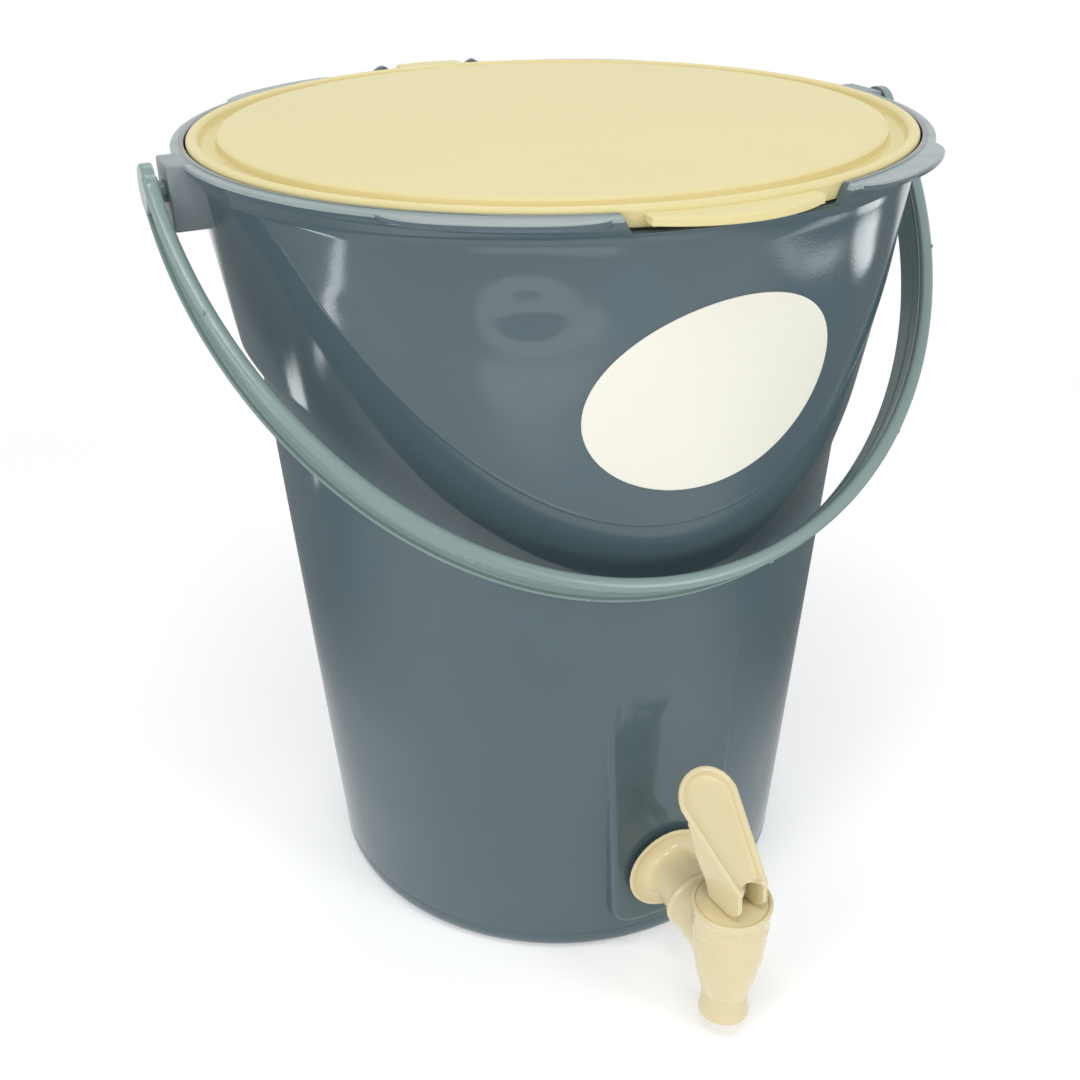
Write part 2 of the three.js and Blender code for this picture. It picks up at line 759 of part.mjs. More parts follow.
// Side view of a cheek as [backwards, up] from the pin. Its foot is flat when the lever is closed, and
// its nose is a cam that lifts the pin at a steady rate as the lever turns.
function cheekProfile() {
  const rate = lever.lift / rad(lever.throwAngle);
  const rest = lever.pinHeight - bonnetTop - touchGap;
  const cam = [];
  for (let i = 0; i <= lever.camSteps; i += 1) {
    const turn = (rad(lever.throwAngle) * i) / lever.camSteps;
    const reach = rest + rate * turn;
    const back = -reach * Math.sin(turn) - rate * Math.cos(turn);
    const up = rate * Math.sin(turn) - reach * Math.cos(turn);
    cam.push([back, up]);
  }
  const onPaddle = (along, out) => {
    const point = new THREE.Vector3(0, along, out).applyMatrix4(paddleLean);
    return [point.y, point.z];
  };
  const flankEnd = lever.plateLength * lever.flankEndShare;
  const under = lever.plateFace - lever.plateThick;
  const paddle = [onPaddle(flankEnd, under), onPaddle(flankEnd, lever.plateFace), onPaddle(lever.plateStart, lever.plateFace)];
  return [[lever.cheekBack, -rest], ...paddle, ...cam.reverse()];
}

function leverSolid() {
  const plateFoot = lever.plateFace - lever.plateThick;
  const plate = slab(paddleOutline(0, lever.plateStart, lever.archRise), lever.plateThick, plateFoot);
  const trayFoot = lever.plateFace - lever.trayDepth;
  const tray = slab(paddleOutline(lever.trayEdge, lever.trayStart, 0), lever.trayDepth + overrun, trayFoot);
  for (const flat of [plate, tray]) flat.applyMatrix4(paddleLean);
  const parts = [atPin(plate)];
  for (const side of [1, -1]) {
    const cheek = slab(polygon(cheekProfile()), lever.cheekThick, 0);
    cheek.applyMatrix4(new THREE.Matrix4().set(0, 0, 1, 0, 1, 0, 0, 0, 0, 1, 0, 0, 0, 0, 0, 1));
    cheek.translate(side > 0 ? lever.cheekInner : -lever.cheekInner - lever.cheekThick, 0, 0);
    parts.push(atPin(cheek));
  }
  return joined(parts).subtract(atPin(tray)).subtract(pinHole());
}

function labelSolid() {
  const top = [[bucket.topRadius - bucket.wall, bucket.rimHeight - rim.seatDepth]];
  const shell = skinSolid(touchGap + label.thick, 0, 0, top).subtract(skinSolid(touchGap, 0, 0, top));
  const oval = new THREE.Shape();
  oval.absellipse(0, 0, label.halfWidth, label.halfHeight, 0, 2 * Math.PI, false, 0);
  const prism = slab(new THREE.Shape(oval.getPoints(label.round)), 2 * label.depth, bucket.topRadius - label.depth);
  prism.rotateZ(rad(label.tiltAngle));
  prism.rotateX(Math.PI / 2);
  prism.translate(label.centreX, 0, bucket.rimHeight - label.centreDrop);
  return shell.intersect(solid(prism));
}

// Finishes
const finish = (color, roughness) => new THREE.MeshStandardMaterial({ color, roughness, metalness: 0 });
const slate = () => finish(0x5f6c75, 0.25);
const sage = () => finish(0x8ea29f, 0.4);
const cream = () => finish(0xe8dfb4, 0.35);
const softSeal = () => finish(0x2f3132, 0.8);
const silicone = () => finish(0xe9e9e6, 0.6);
const paper = () => finish(0xe6e4da, 0.5);

const wormery = new THREE.Group();

function place(name, body, material, at) {
  const mesh = new THREE.Mesh(geometryOf(body), material);
  mesh.name = name;
  if (at) {
    mesh.position.copy(at.position);
    mesh.rotation.copy(at.rotation);
  }
  wormery.add(mesh);
}

const handlePlace = {
  position: new THREE.Vector3(0, 0, handle.pivotHeight),
  rotation: new THREE.Euler(Math.PI / 2 - rad(handle.leanAngle), 0, 0),
};

place('bucket', bucketSolid(), slate());
place('lid', lidSolid(), cream());
place('lid_seal', sealSolid(), softSeal());
place('handle', handleSolid(), sage(), handlePlace);
place('strainer', strainerSolid(), slate());
place('tap_body', tapBodySolid(), cream());
place('tap_bonnet', bonnetSolid(), cream());
place('tap_bonnet_seal', bonnetSealSolid(), silicone());
place('tap_stem', stemSolid(), silicone());
place('tap_plug', plugSolid(), silicone());
place('tap_lever', leverSolid(), cream());
place('tap_lever_pin', pinSolid(), cream());
place('tap_outer_washer', washerSolid(pad.face + touchGap, washerFace), softSeal());
place('tap_inner_washer', washerSolid(innerWasherFace, innerWall - touchGap), softSeal());
place('tap_nut', nutSolid(), cream());
place('label', labelSolid(), paper());

export default wormery;
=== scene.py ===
"""A kitchen compost bucket with a lid, a bail handle and a drain tap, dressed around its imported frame.

Every piece is drawn in millimetres in the frame's own axes, and brought to metres when it is finished.
"""

import logging
import math
from collections.abc import Callable, Sequence
from dataclasses import dataclass, field
from enum import Enum

import bmesh
import bpy
import numpy as np
from mathutils import Matrix, Vector


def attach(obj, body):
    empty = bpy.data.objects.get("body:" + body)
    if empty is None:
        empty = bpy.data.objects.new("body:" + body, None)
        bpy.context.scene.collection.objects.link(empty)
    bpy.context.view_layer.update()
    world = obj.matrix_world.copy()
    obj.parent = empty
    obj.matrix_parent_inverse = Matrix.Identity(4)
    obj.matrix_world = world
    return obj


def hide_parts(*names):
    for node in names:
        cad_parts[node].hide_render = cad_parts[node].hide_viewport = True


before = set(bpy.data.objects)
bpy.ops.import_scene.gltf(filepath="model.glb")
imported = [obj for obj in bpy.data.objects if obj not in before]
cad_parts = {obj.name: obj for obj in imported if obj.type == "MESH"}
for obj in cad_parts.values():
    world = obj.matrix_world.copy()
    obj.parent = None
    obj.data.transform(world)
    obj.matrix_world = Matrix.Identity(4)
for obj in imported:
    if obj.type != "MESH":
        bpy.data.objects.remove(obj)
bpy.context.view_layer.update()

log = logging.getLogger("compost_bucket")

MM = 0.001
WELD_GAP = 0.002
Object = bpy.types.Object
Pair = tuple[float, float]
Point = tuple[float, float, float]
Profile = Sequence[Pair]
Rows = list[tuple[np.ndarray, np.ndarray]]
Place = Callable[[np.ndarray, np.ndarray], np.ndarray]


class Cut(Enum):
    """How one solid changes another."""

    JOIN = "UNION"
    REMOVE = "DIFFERENCE"


class Slot(Enum):
    """Finishes that the record names."""

    BUCKET = "slate_plastic"
    HANDLE = "sage_plastic"
    LID = "cream_plastic"
    TAP = "tap_plastic"
    LABEL = "label_film"


# Modelling by hand


def select_only(obj: Object) -> None:
    """Makes an object the only one selected.

    Args:
        obj: The object that the next operators act on.
    """
    if bpy.context.object and bpy.context.object.mode != "OBJECT":
        bpy.ops.object.mode_set(mode="OBJECT")
    bpy.ops.object.select_all(action="DESELECT")
    obj.select_set(True)
    bpy.context.view_layer.objects.active = obj


def edit(obj: Object) -> None:
    """Opens an object in edit mode with all of it selected.

    Args:
        obj: The object to edit.
    """
    select_only(obj)
    bpy.ops.object.mode_set(mode="EDIT")
    bpy.ops.mesh.select_mode(type="VERT")
    bpy.ops.mesh.select_all(action="SELECT")


def close_edit() -> None:
    """Leaves edit mode."""
    bpy.ops.object.mode_set(mode="OBJECT")


def pick(obj: Object, kind: str, test: Callable[[Vector], bool]) -> None:
    """Selects faces, edges or corners whose middle passes a test, in edit mode.

    Args:
        obj: The object that is open in edit mode.
        kind: FACE, EDGE or VERT.
        test: Takes the middle, in millimetres.
    """
    bpy.ops.mesh.select_mode(type=kind)
    bpy.ops.mesh.select_all(action="DESELECT")
    mesh = bmesh.from_edit_mesh(obj.data)
    for item in {"FACE": mesh.faces, "EDGE": mesh.edges, "VERT": mesh.verts}[kind]:
        corners = [item] if kind == "VERT" else item.verts
        item.select_set(test(sum((corner.co for corner in corners), Vector()) / len(corners)))
    mesh.select_flush_mode()
    bmesh.update_edit_mesh(obj.data)


def round_outline(obj: Object, radius: float, test: Callable[[Vector], bool]) -> None:
    """Rounds the outline of some faces, in edit mode.

    Args:
        obj: The object that is open in edit mode.
        radius: The rounding's size.
        test: Takes the middle of a face.
    """
    pick(obj, "FACE", test)
    bpy.ops.mesh.region_to_loop()
    bpy.ops.mesh.bevel(offset=radius, segments=4, affect="EDGES")


def modify(obj: Object, kind: str, **settings: object) -> None:
    """Gives an object a modifier and applies it.

    Args:
        obj: The object that changes.
        kind: The modifier's type.
        settings: Its settings by name.
    """
    select_only(obj)
    modifier = obj.modifiers.new(kind, kind)
    for name, value in settings.items():
        setattr(modifier, name, value)
    bpy.ops.object.modifier_apply(modifier=modifier.name)


def merged(parts: Sequence[Object]) -> Object:
    """Makes several objects one.

    Args:
        parts: The objects, which are used up apart from the first.

    Returns:
        The first, with the others' meshes in it.
    """
    select_only(parts[0])
    for part in parts[1:]:
        part.select_set(True)
    bpy.ops.object.join()
    return parts[0]


def tidy(obj: Object) -> None:
    """Merges doubled corners and turns the faces outwards.

    Args:
        obj: The object to tidy.
    """
    edit(obj)
    bpy.ops.mesh.remove_doubles(threshold=WELD_GAP)
    bpy.ops.mesh.normals_make_consistent(inside=False)
    close_edit()


def apply_place(obj: Object) -> None:
    """Moves an object's place, turn and scale into its mesh."""
    select_only(obj)
    bpy.ops.object.transform_apply(location=True, rotation=True, scale=True)


def turned(name: str, profile: Profile, sides: int, closed: bool = False) -> Object:
    """Turns a profile about Z, by extruding and resizing a ring from one point to the next.

    Args:
        name: The new object's name.
        profile: Points of radius and height, in order round the outside.
        sides: Facets round the axis.
        closed: True where the profile is a closed loop, as on a washer.

    Returns:
        The solid, with its ends filled.
    """
    radius, height = profile[0]
    bpy.ops.mesh.primitive_circle_add(vertices=sides, radius=radius, location=(0, 0, height))
    obj = bpy.context.object
    obj.name = name
    edit(obj)
    points = [*profile[1:], profile[0]] if closed else list(profile[1:])
    for new_radius, new_height in points:
        rise = {"value": (0, 0, new_height - height)}
        bpy.ops.mesh.extrude_region_move(TRANSFORM_OT_translate=rise)
        grow = new_radius / radius
        bpy.ops.transform.resize(value=(grow, grow, 1), center_override=(0, 0, new_height))
        radius, height = new_radius, new_height
    bpy.ops.mesh.select_all(action="SELECT")
    if not closed:
        bpy.ops.mesh.fill_holes(sides=0)
    close_edit()
    apply_place(obj)
    tidy(obj)
    return obj


def wrapped(name: str, columns: int, rows: int, place: Place) -> Object:
    """Lays a grid on a surface that a formula gives.

    Args:
        name: The new object's name.
        columns: Steps along the grid's first side.
        rows: Steps along its second side.
        place: Takes the column and row of each corner and gives its place.

    Returns:
        The surface, with its seam and poles closed.
    """
    bpy.ops.mesh.primitive_grid_add(x_subdivisions=columns, y_subdivisions=rows, size=1)
    obj = bpy.context.object
    obj.name = name
    flat = np.empty(len(obj.data.vertices) * 3)
    obj.data.vertices.foreach_get("co", flat)
    share = flat.reshape(-1, 3)[:, :2] + 0.5
    column = np.rint(share[:, 0] * columns).astype(int)
    row = np.rint(share[:, 1] * rows).astype(int)
    obj.data.vertices.foreach_set("co", place(column, row).ravel())
    obj.data.update()
    tidy(obj)
    return obj


def combine(obj: Object, other: Object, cut: Cut) -> None:
    """Joins another solid to an object, or cuts it away, and uses the other one up."""
    modify(obj, "BOOLEAN", object=other, operation=cut.value, solver="EXACT")
    bpy.data.objects.remove(other)


def rod(radius: float, length: float, middle: Point, axis: str, sides: int = 48) -> Object:
    """Adds a cylinder, used as a cutter or a core.

    Args:
        radius: Its radius.
        length: Its length.
        middle: Its middle.
        axis: X, Y or Z.
        sides: Facets round it.

    Returns:
        The cylinder.
    """
    turn = {"X": (0, math.pi / 2, 0), "Y": (math.pi / 2, 0, 0), "Z": (0, 0, 0)}[axis]
    size = {"vertices": sides, "radius": radius, "depth": length}
    bpy.ops.mesh.primitive_cylinder_add(**size, location=middle, rotation=turn)
    obj = bpy.context.object
    apply_place(obj)
    return obj


def block(low: Point, high: Point) -> Object:
    """Adds a box between two corners.

    Args:
        low: Its lowest corner.
        high: Its highest corner.

    Returns:
        The box.
    """
    middle = (Vector(low) + Vector(high)) / 2
    bpy.ops.mesh.primitive_cube_add(size=1, location=middle, scale=Vector(high) - Vector(low))
    obj = bpy.context.object
    apply_place(obj)
    return obj


def remoulded(obj: Object, voxel: float, passes: int) -> None:
    """Gives a solid a moulding's small round edges, by an even remesh and some smoothing passes."""
    modify(obj, "REMESH", mode="VOXEL", voxel_size=voxel)
    modify(obj, "SMOOTH", iterations=passes, factor=0.5)


def lean(obj: Object, turn: Matrix, place: Point) -> None:
    """Turns an object's mesh about the frame's origin, and then moves it to its place."""
    obj.data.transform(Matrix.Translation(place) @ turn)
    obj.data.update()


def arc(middle: Pair, radii: Pair, degrees: Sequence[float]) -> list[Pair]:
    """Gives the points at some degrees round an ellipse, as a round stretch of a profile."""
    swings = [math.radians(turn) for turn in degrees]
    return [(middle[0] + radii[0] * math.cos(s), middle[1] + radii[1] * math.sin(s)) for s in swings]


def level(points: Profile, one: np.ndarray) -> Rows:
    """Gives rows that keep each point's radius and height all the way round."""
    return [(radius * one, z * one) for radius, z in points]


def ease(share: np.ndarray) -> np.ndarray:
    """Rises smoothly from 0 to 1 as the share does, and stays there outside it."""
    share = np.clip(share, 0, 1)
    return share * share * (3 - 2 * share)


def rounding(depth: np.ndarray, radius: float) -> np.ndarray:
    """Gives the height share of a quarter-round edge at a depth inside its outline."""
    share = np.clip(depth / radius, 0, 1)
    return np.sqrt(1 - (1 - share) ** 2)


# Finishes


def linear(colour: str) -> tuple[float, float, float, float]:
    """Turns an sRGB hex colour to linear.

    Args:
        colour: Six hex digits.

    Returns:
        Red, green, blue and one.
    """
    parts = [int(colour[k : k + 2], 16) / 255 for k in (0, 2, 4)]
    light = [p / 12.92 if p <= 0.04045 else ((p + 0.055) / 1.055) ** 2.4 for p in parts]
    return (*light, 1.0)


def new_tree(owner: bpy.types.Material | bpy.types.World) -> bpy.types.NodeTree:
    """Gives a material or a world an empty node tree.

    Args:
        owner: The material or world.

    Returns:
        Its tree.
    """
    owner.use_nodes = True
    owner.node_tree.nodes.clear()
    return owner.node_tree


def add_node(
    tree: bpy.types.NodeTree, kind: str, settings: dict | None = None, links: dict | None = None
) -> bpy.types.Node:
    """Adds a node with its settings and links.

    Args:
        tree: The node tree.
        kind: The node's type name, after ShaderNode.
        settings: Attributes by name, or input values by the input's name or number.
        links: Output sockets by the input's name or number.

    Returns:
        The node.
    """
    node = tree.nodes.new("ShaderNode" + kind)
    for name, value in (settings or {}).items():
        if isinstance(name, str) and hasattr(node, name):
            setattr(node, name, value)
        else:
            node.inputs[name].default_value = value
    for name, socket in (links or {}).items():
        tree.links.new(socket, node.inputs[name])
    return node


def drifting_colour(
    tree: bpy.types.NodeTree, here: bpy.types.NodeSocket, colours: tuple[str, str], size: float, detail: float
) -> bpy.types.NodeSocket:
    """Lets a colour drift between two shades.

    Args:
        tree: The node tree.
        here: The place on the piece.
        colours: Both shades, in hex.
        size: The drift's size in millimetres.
        detail: How broken up it is.

    Returns:
        The colour's socket.
    """
    drift = add_node(tree, "TexNoise", {"Scale": 1 / (size * MM), "Detail": detail}, {"Vector": here})
    shades = {"data_type": "RGBA", 6: linear(colours[0]), 7: linear(colours[1])}
    return add_node(tree, "Mix", shades, {0: drift.outputs["Fac"]}).outputs[2]


def relief(
    tree: bpy.types.NodeTree, here: bpy.types.NodeSocket, layers: Sequence[Point]
) -> bpy.types.NodeSocket:
    """Raises a skin by patterns that lie one over the other.

    Args:
        tree: The node tree.
        here: The place on the piece.
        layers: Each pattern's size in millimetres, detail, and height in millimetres.

    Returns:
        The normal's socket.
    """
    below = {}
    for size, detail, height in layers:
        pattern = add_node(tree, "TexNoise", {"Scale": 1 / (size * MM), "Detail": detail}, {"Vector": here})
        links = {"Height": pattern.outputs["Fac"], **below}
        bump = add_node(tree, "Bump", {"Strength": 1.0, "Distance": height * MM}, links)
        below = {"Normal": bump.outputs["Normal"]}
    return below["Normal"]


@dataclass(frozen=True)
class Moulding:
    """Injection-moulded plastic: a skin copied from a polished mould, with a faint orange peel."""

    name: str
    colour: str
    shade: str
    roughness: float
    peel_mm: float = 1.1
    peel_height: float = 0.010
    ripple_mm: float = 26
    ripple_height: float = 0.22
    scuff_share: float = 0.10
    ior: float = 1.49
    soft_light: float = 0.0

    def material(self) -> bpy.types.Material:
        """Builds the finish.

        Returns:
            The material.
        """
        made = bpy.data.materials.new(self.name)
        tree = new_tree(made)
        here = add_node(tree, "TexCoord").outputs["Object"]
        # pigment never mixes quite evenly, so the colour drifts over some 60 mm
        colour = drifting_colour(tree, here, (self.colour, self.shade), 60, 3.0)
        # handling leaves fine scuffs, drawn 7 mm long so that they show
        stretch = add_node(tree, "Mapping", {"Scale": (1.0, 1.0, 0.25)}, {"Vector": here}).outputs["Vector"]
        pattern = {"Scale": 1 / (7 * MM), "Detail": 6.0, "Roughness": 0.7}
        scuffs = add_node(tree, "TexNoise", pattern, {"Vector": stretch}).outputs["Fac"]
        most = self.roughness + self.scuff_share
        wear = {"From Min": 0.45, "From Max": 0.8, "To Min": self.roughness, "To Max": most}
        rough = add_node(tree, "MapRange", wear, {"Value": scuffs}).outputs["Result"]
        # the wall cools unevenly, in ripples some centimetres long, under an orange peel of a millimetre
        ripple = (self.ripple_mm, 0.0, self.ripple_height)
        peel = (self.peel_mm, 2.0, self.peel_height)
        links = {"Base Color": colour, "Roughness": rough, "Normal": relief(tree, here, (ripple, peel))}
        shader = add_node(tree, "BsdfPrincipled", {"IOR": self.ior}, links)
        if self.soft_light > 0:
            shader.inputs["Subsurface Weight"].default_value = self.soft_light
            shader.inputs["Subsurface Radius"].default_value = (1.0, 0.8, 0.5)
            shader.inputs["Subsurface Scale"].default_value = 1.5 * MM
        add_node(tree, "OutputMaterial", {}, {"Surface": shader.outputs["BSDF"]})
        return made


# Polypropylene, moulded glossy, in slate; the wall is thin enough to ripple as it cools
SLATE = Moulding(
    "polypropylene_slate", "55676E", "506269", 0.09,
    peel_height=0.016, ripple_mm=48, ripple_height=1.3, scuff_share=0.06,
)
# The same, rubbed pale where the handle's ends knock against it
SCUFFED = Moulding("polypropylene_scuffed", "96A1A6", "747F85", 0.38, peel_height=0.03, scuff_share=0.25)
# The same, paler along the rim's top: partly real wear, partly a painted sheen where the upward faces catch
# the light
WORN_AND_SHEEN_RIM = Moulding("polypropylene_worn_and_sheen_rim", "9FACAB", "8C9999", 0.30, peel_height=0.02, scuff_share=0.2)
# Polypropylene in grey-green, from a less polished mould
SAGE = Moulding("polypropylene_sage", "879C99", "809592", 0.22, ripple_height=0.10)
# Polypropylene in cream, which lets a little light in
CREAM = Moulding(
    "polypropylene_cream", "E9DCA4", "E3D59C", 0.40, ripple_height=0.12, ior=1.38, soft_light=0.08
)
# Acetal for the tap: a little browner and smoother than the lid
ACETAL = Moulding(
    "acetal_cream", "EBDCB1", "E7D7AA", 0.12, ripple_height=0.03, scuff_share=0.03, soft_light=0.06
)
# Silicone rubber of the stem and plug
SILICONE = Moulding("silicone_white", "EFEDE8", "E9E6E0", 0.42, ripple_height=0.02, ior=1.41)
# Rubber sheet that the washers and the lid's seal are cut from
RUBBER = Moulding("rubber_black", "2C2E2F", "262829", 0.62, ripple_height=0.02, ior=1.52)


@dataclass(frozen=True)
class Sticker:
    """Coated paper: a bare printed label, even in colour, with fibres that show only in raking light."""

    name: str = "coated_paper"
    colour: str = "F6F4E8"
    shade: str = "F2F0E2"
    roughness: float = 0.38

    def material(self) -> bpy.types.Material:
        """Builds the finish.

        Returns:
            The material.
        """
        made = bpy.data.materials.new(self.name)
        tree = new_tree(made)
        here = add_node(tree, "TexCoord").outputs["Object"]
        colour = drifting_colour(tree, here, (self.colour, self.shade), 30, 4.0)
        # paper fibres are some 0.9 mm long
        links = {"Base Color": colour, "Normal": relief(tree, here, [(0.9, 4.0, 0.008)])}
        shader = add_node(tree, "BsdfPrincipled", {"IOR": 1.5, "Roughness": self.roughness}, links)
        add_node(tree, "OutputMaterial", {}, {"Surface": shader.outputs["BSDF"]})
        return made


class FinishBook:
    """Keeps one material for each finish."""

    def __init__(self) -> None:
        """Starts with none made."""
        self.made: dict[str, bpy.types.Material] = {}

    def get(self, finish: Moulding | Sticker) -> bpy.types.Material:
        """Gives a finish's material, and makes it the first time.

        Args:
            finish: The finish.

        Returns:
            Its material.
        """
        if finish.name not in self.made:
            self.made[finish.name] = finish.material()
        return self.made[finish.name]


FINISHES = FinishBook()


def finish_piece(
    obj: Object,
    name: str,
    body: str,
    nodes: Sequence[str],
    finish: Moulding | Sticker,
    crease: float,
) -> None:
    """Brings a piece to metres, shades and dresses it, and hands it to its body.

    Args:
        obj: The piece, drawn in millimetres.
        name: Its name.
        body: The body that it rides on.
        nodes: The CAD nodes that it stands for.
        finish: Its finish.
        crease: Edges sharper than this many degrees stay sharp.
    """
    apply_place(obj)
    obj.data.transform(Matrix.Scale(MM, 4))
    obj.data.update()
    obj.name = name
    obj.data.name = name
    select_only(obj)
    bpy.ops.object.shade_smooth_by_angle(angle=math.radians(crease))
    modify(obj, "WEIGHTED_NORMAL", keep_sharp=True)
    if not obj.data.materials:
        obj.data.materials.append(FINISHES.get(finish))
    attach(obj, body)
    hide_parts(*nodes)
    log.info("%s: %d faces on %s", name, len(obj.data.polygons), body)


# Sub-assemblies


@dataclass
class Bucket:
    """The slate bucket: a round base, a flat pad for the tap, and a flared top with a creased shield."""

    base_radius: float = 113
    base_round: float = 6
    rim_height: float = 358.5
    top_radius: float = 149
    wall: float = 2.4
    floor: float = 3
    lower_slope: float = 0.0625
    panel_slope: float = 0.125
    side_slope: float = 0.15
    front_slope: float = 0.19
    band_front: float = 212
    band_side: float = 271
    band_tall: float = 16
    band_spread: float = 24
    band_dip: float = 8
    crease_foot: float = 235.5
    crease_half_angle: float = 67
    shield_turn: float = -4
    skin_top: float = 347
    foot_recess: float = 0.8
    ring_line: float = 10.5
    ring_line_depth: float = 0.25
    rim_radius: float = 154
    lip_tall: float = 6.5
    ridge_radius: float = 151.1
    ridge_tall: float = 0.6
    worn_sheen_tall: float = 1.1
    flare: tuple[Pair, ...] = (
        (148.2, 348.6),
        (149.5, 350.4),
        (151.2, 352.3),
        (152.5, 353.8),
        (153.2, 355.1),
    )
    mouth_radius: float = 148.6
    seat: float = 350
    edge: float = 0.9
    notch_half_angles: Pair = (15.1, 7.0)
    notch_end_angles: Pair = (1.9, 1.2)
    notch_reach: float = 151.5
    bump_rise: float = 2.4
    bump_angle: float = 9.2
    bump_half_angle: float = 1.25
    grip_inner: float = 17.2
    grip_outer: float = 46.8
    grip_reach: float = 160
    grip_root: float = 150.2
    grip_foot: float = 355.1
    pad_face: float = 119
    pad_foot: float = 18
    pad_top: float = 165
    pad_foot_half: float = 26.5
    pad_top_half: float = 32.5
    pad_corner: float = 12
    pad_round: float = 3.5
    tap_height: float = 49.5
    tap_hole: float = 12.3
    lug_face: float = 160
    lug_root: float = 144
    lug_roots: tuple[float, ...] = (144.3, 146.3, 148.2, 149.3)
    lug_drop: float = 0.45
    lug_half_width: float = 11
    lug_tall: float = 24.5
    pivot_height: float = 347
    socket_radius: float = 4.35
    socket_foot: float = 153.45
    bead_proud: float = 0.16
    bead_tall: float = 0.55
    bead_half_angle: float = 65
    sinks: tuple[tuple[float, float, float, float], ...] = (
        (-24, 325, 22, 0.9),
        (10, 343, 40, 0.10),
        (36, 332, 26, 0.12),
        (-50, 318, 16, 0.08),
        (150, 322, 26, 0.14),
        (205, 330, 30, 0.12),
    )

    def fold(self, azimuth: np.ndarray) -> np.ndarray:
        """Degrees from the nearer shield's centre, front or back."""
        return np.abs(np.degrees(np.arcsin(np.sin(azimuth))))

    def band(self, azimuth: np.ndarray) -> np.ndarray:
        """Height of the overhang's middle."""
        middle, half = (self.band_side + self.band_front) / 2, (self.band_side - self.band_front) / 2
        return middle - half * np.cos(2 * azimuth) - self.band_dip * np.sin(2 * azimuth) ** 2

    def band_thickness(self, azimuth: np.ndarray) -> np.ndarray:
        """Height over which the overhang turns in."""
        return self.band_tall + self.band_spread * np.sin(2 * azimuth) ** 2

    def crease(self, azimuth: np.ndarray) -> np.ndarray:
        """Height of the shield's crease."""
        climb = (self.rim_height - self.crease_foot) * (self.fold(azimuth) / self.crease_half_angle) ** 2
        return np.minimum(self.rim_height, self.crease_foot + climb)

    def skin(self, azimuth: np.ndarray, z: np.ndarray) -> np.ndarray:
        """Outer radius of the body.

        Args:
            azimuth: Radians from the shield's centre.
            z: Height.

        Returns:
            The radius.
        """
        lower = self.base_radius + self.lower_slope * z
        crease = self.crease(azimuth)
        above = self.rim_height - np.maximum(z, crease)
        below = np.maximum(0, crease - z)
        steeper = (self.front_slope - self.side_slope) * np.cos(azimuth) ** 2
        upper = self.top_radius - self.panel_slope * above - (self.side_slope + steeper) * below
        rise = (z - self.band(azimuth)) / self.band_thickness(azimuth) + 0.5
        return lower + ease(rise) * (upper - lower)

    def marks(self, azimuth: np.ndarray, z: np.ndarray) -> np.ndarray:
        """Small changes of the skin's radius: the crease's bead and the sinks left as the wall cooled.

        Args:
            azimuth: Radians from the shield's centre.
            z: Height.

        Returns:
            The change of radius.
        """
        bead = self.bead_proud * np.exp(-(((z - self.crease(azimuth)) / self.bead_tall) ** 2))
        total = bead * (self.fold(azimuth) < self.bead_half_angle) * (z < self.skin_top - 6)
        for turn, height, width, depth in self.sinks:
            across = (azimuth - math.radians(turn)) * self.top_radius
            reach = np.hypot(across, (z - height) * 1.5) / width
            total = total - depth * np.exp(-(reach**2)) * np.cos(reach * 3.2)
        return total

    def pad(self, azimuth: np.ndarray, z: np.ndarray, radius: np.ndarray, inset: float) -> np.ndarray:
        """Radius with the flat pad for the tap added.

        Args:
            azimuth: Radians from the front.
            z: Height.
            radius: The skin's radius there.
            inset: How far inside the outer skin this is.

        Returns:
            The larger of the skin and the pad.
        """
        x = np.abs(radius * np.sin(azimuth))
        foot = self.pad_foot + inset
        corner = self.pad_corner - inset
        climb = (z - foot - corner) / (self.pad_top - foot - corner)
        half = self.pad_foot_half + (self.pad_top_half - self.pad_foot_half) * np.clip(climb, 0, 1) - inset
        side = half - x
        low = z - foot
        in_corner = (x > half - corner) & (low < corner)
        reach = corner - np.hypot(x - half + corner, low - corner)
        depth = np.where(in_corner, reach, np.minimum(side, low))
        flat = (self.pad_face - inset) / np.cos(azimuth)
        raised = np.where((np.cos(azimuth) > 0) & (depth > 0), np.maximum(flat - radius, 0), 0)
        return radius + raised * rounding(depth, self.pad_round)

    def azimuths(self) -> np.ndarray:
        """Spaces the columns round the bucket, closer at the pad's sides and the notches.

        Returns:
            Radians from the front, from the back's middle all round to it again.
        """
        stretches = [(0, 10.4, 1.1), (10.5, 18.6, 0.25), (18.9, 168, 1.2)]
        stretches += [(168.5, 175.1, 0.2), (176, 179.9, 1.1)]
        right = np.concatenate([np.arange(*stretch) for stretch in stretches])
        return np.radians(np.concatenate([[-180], -right[:0:-1], right, [180]]))

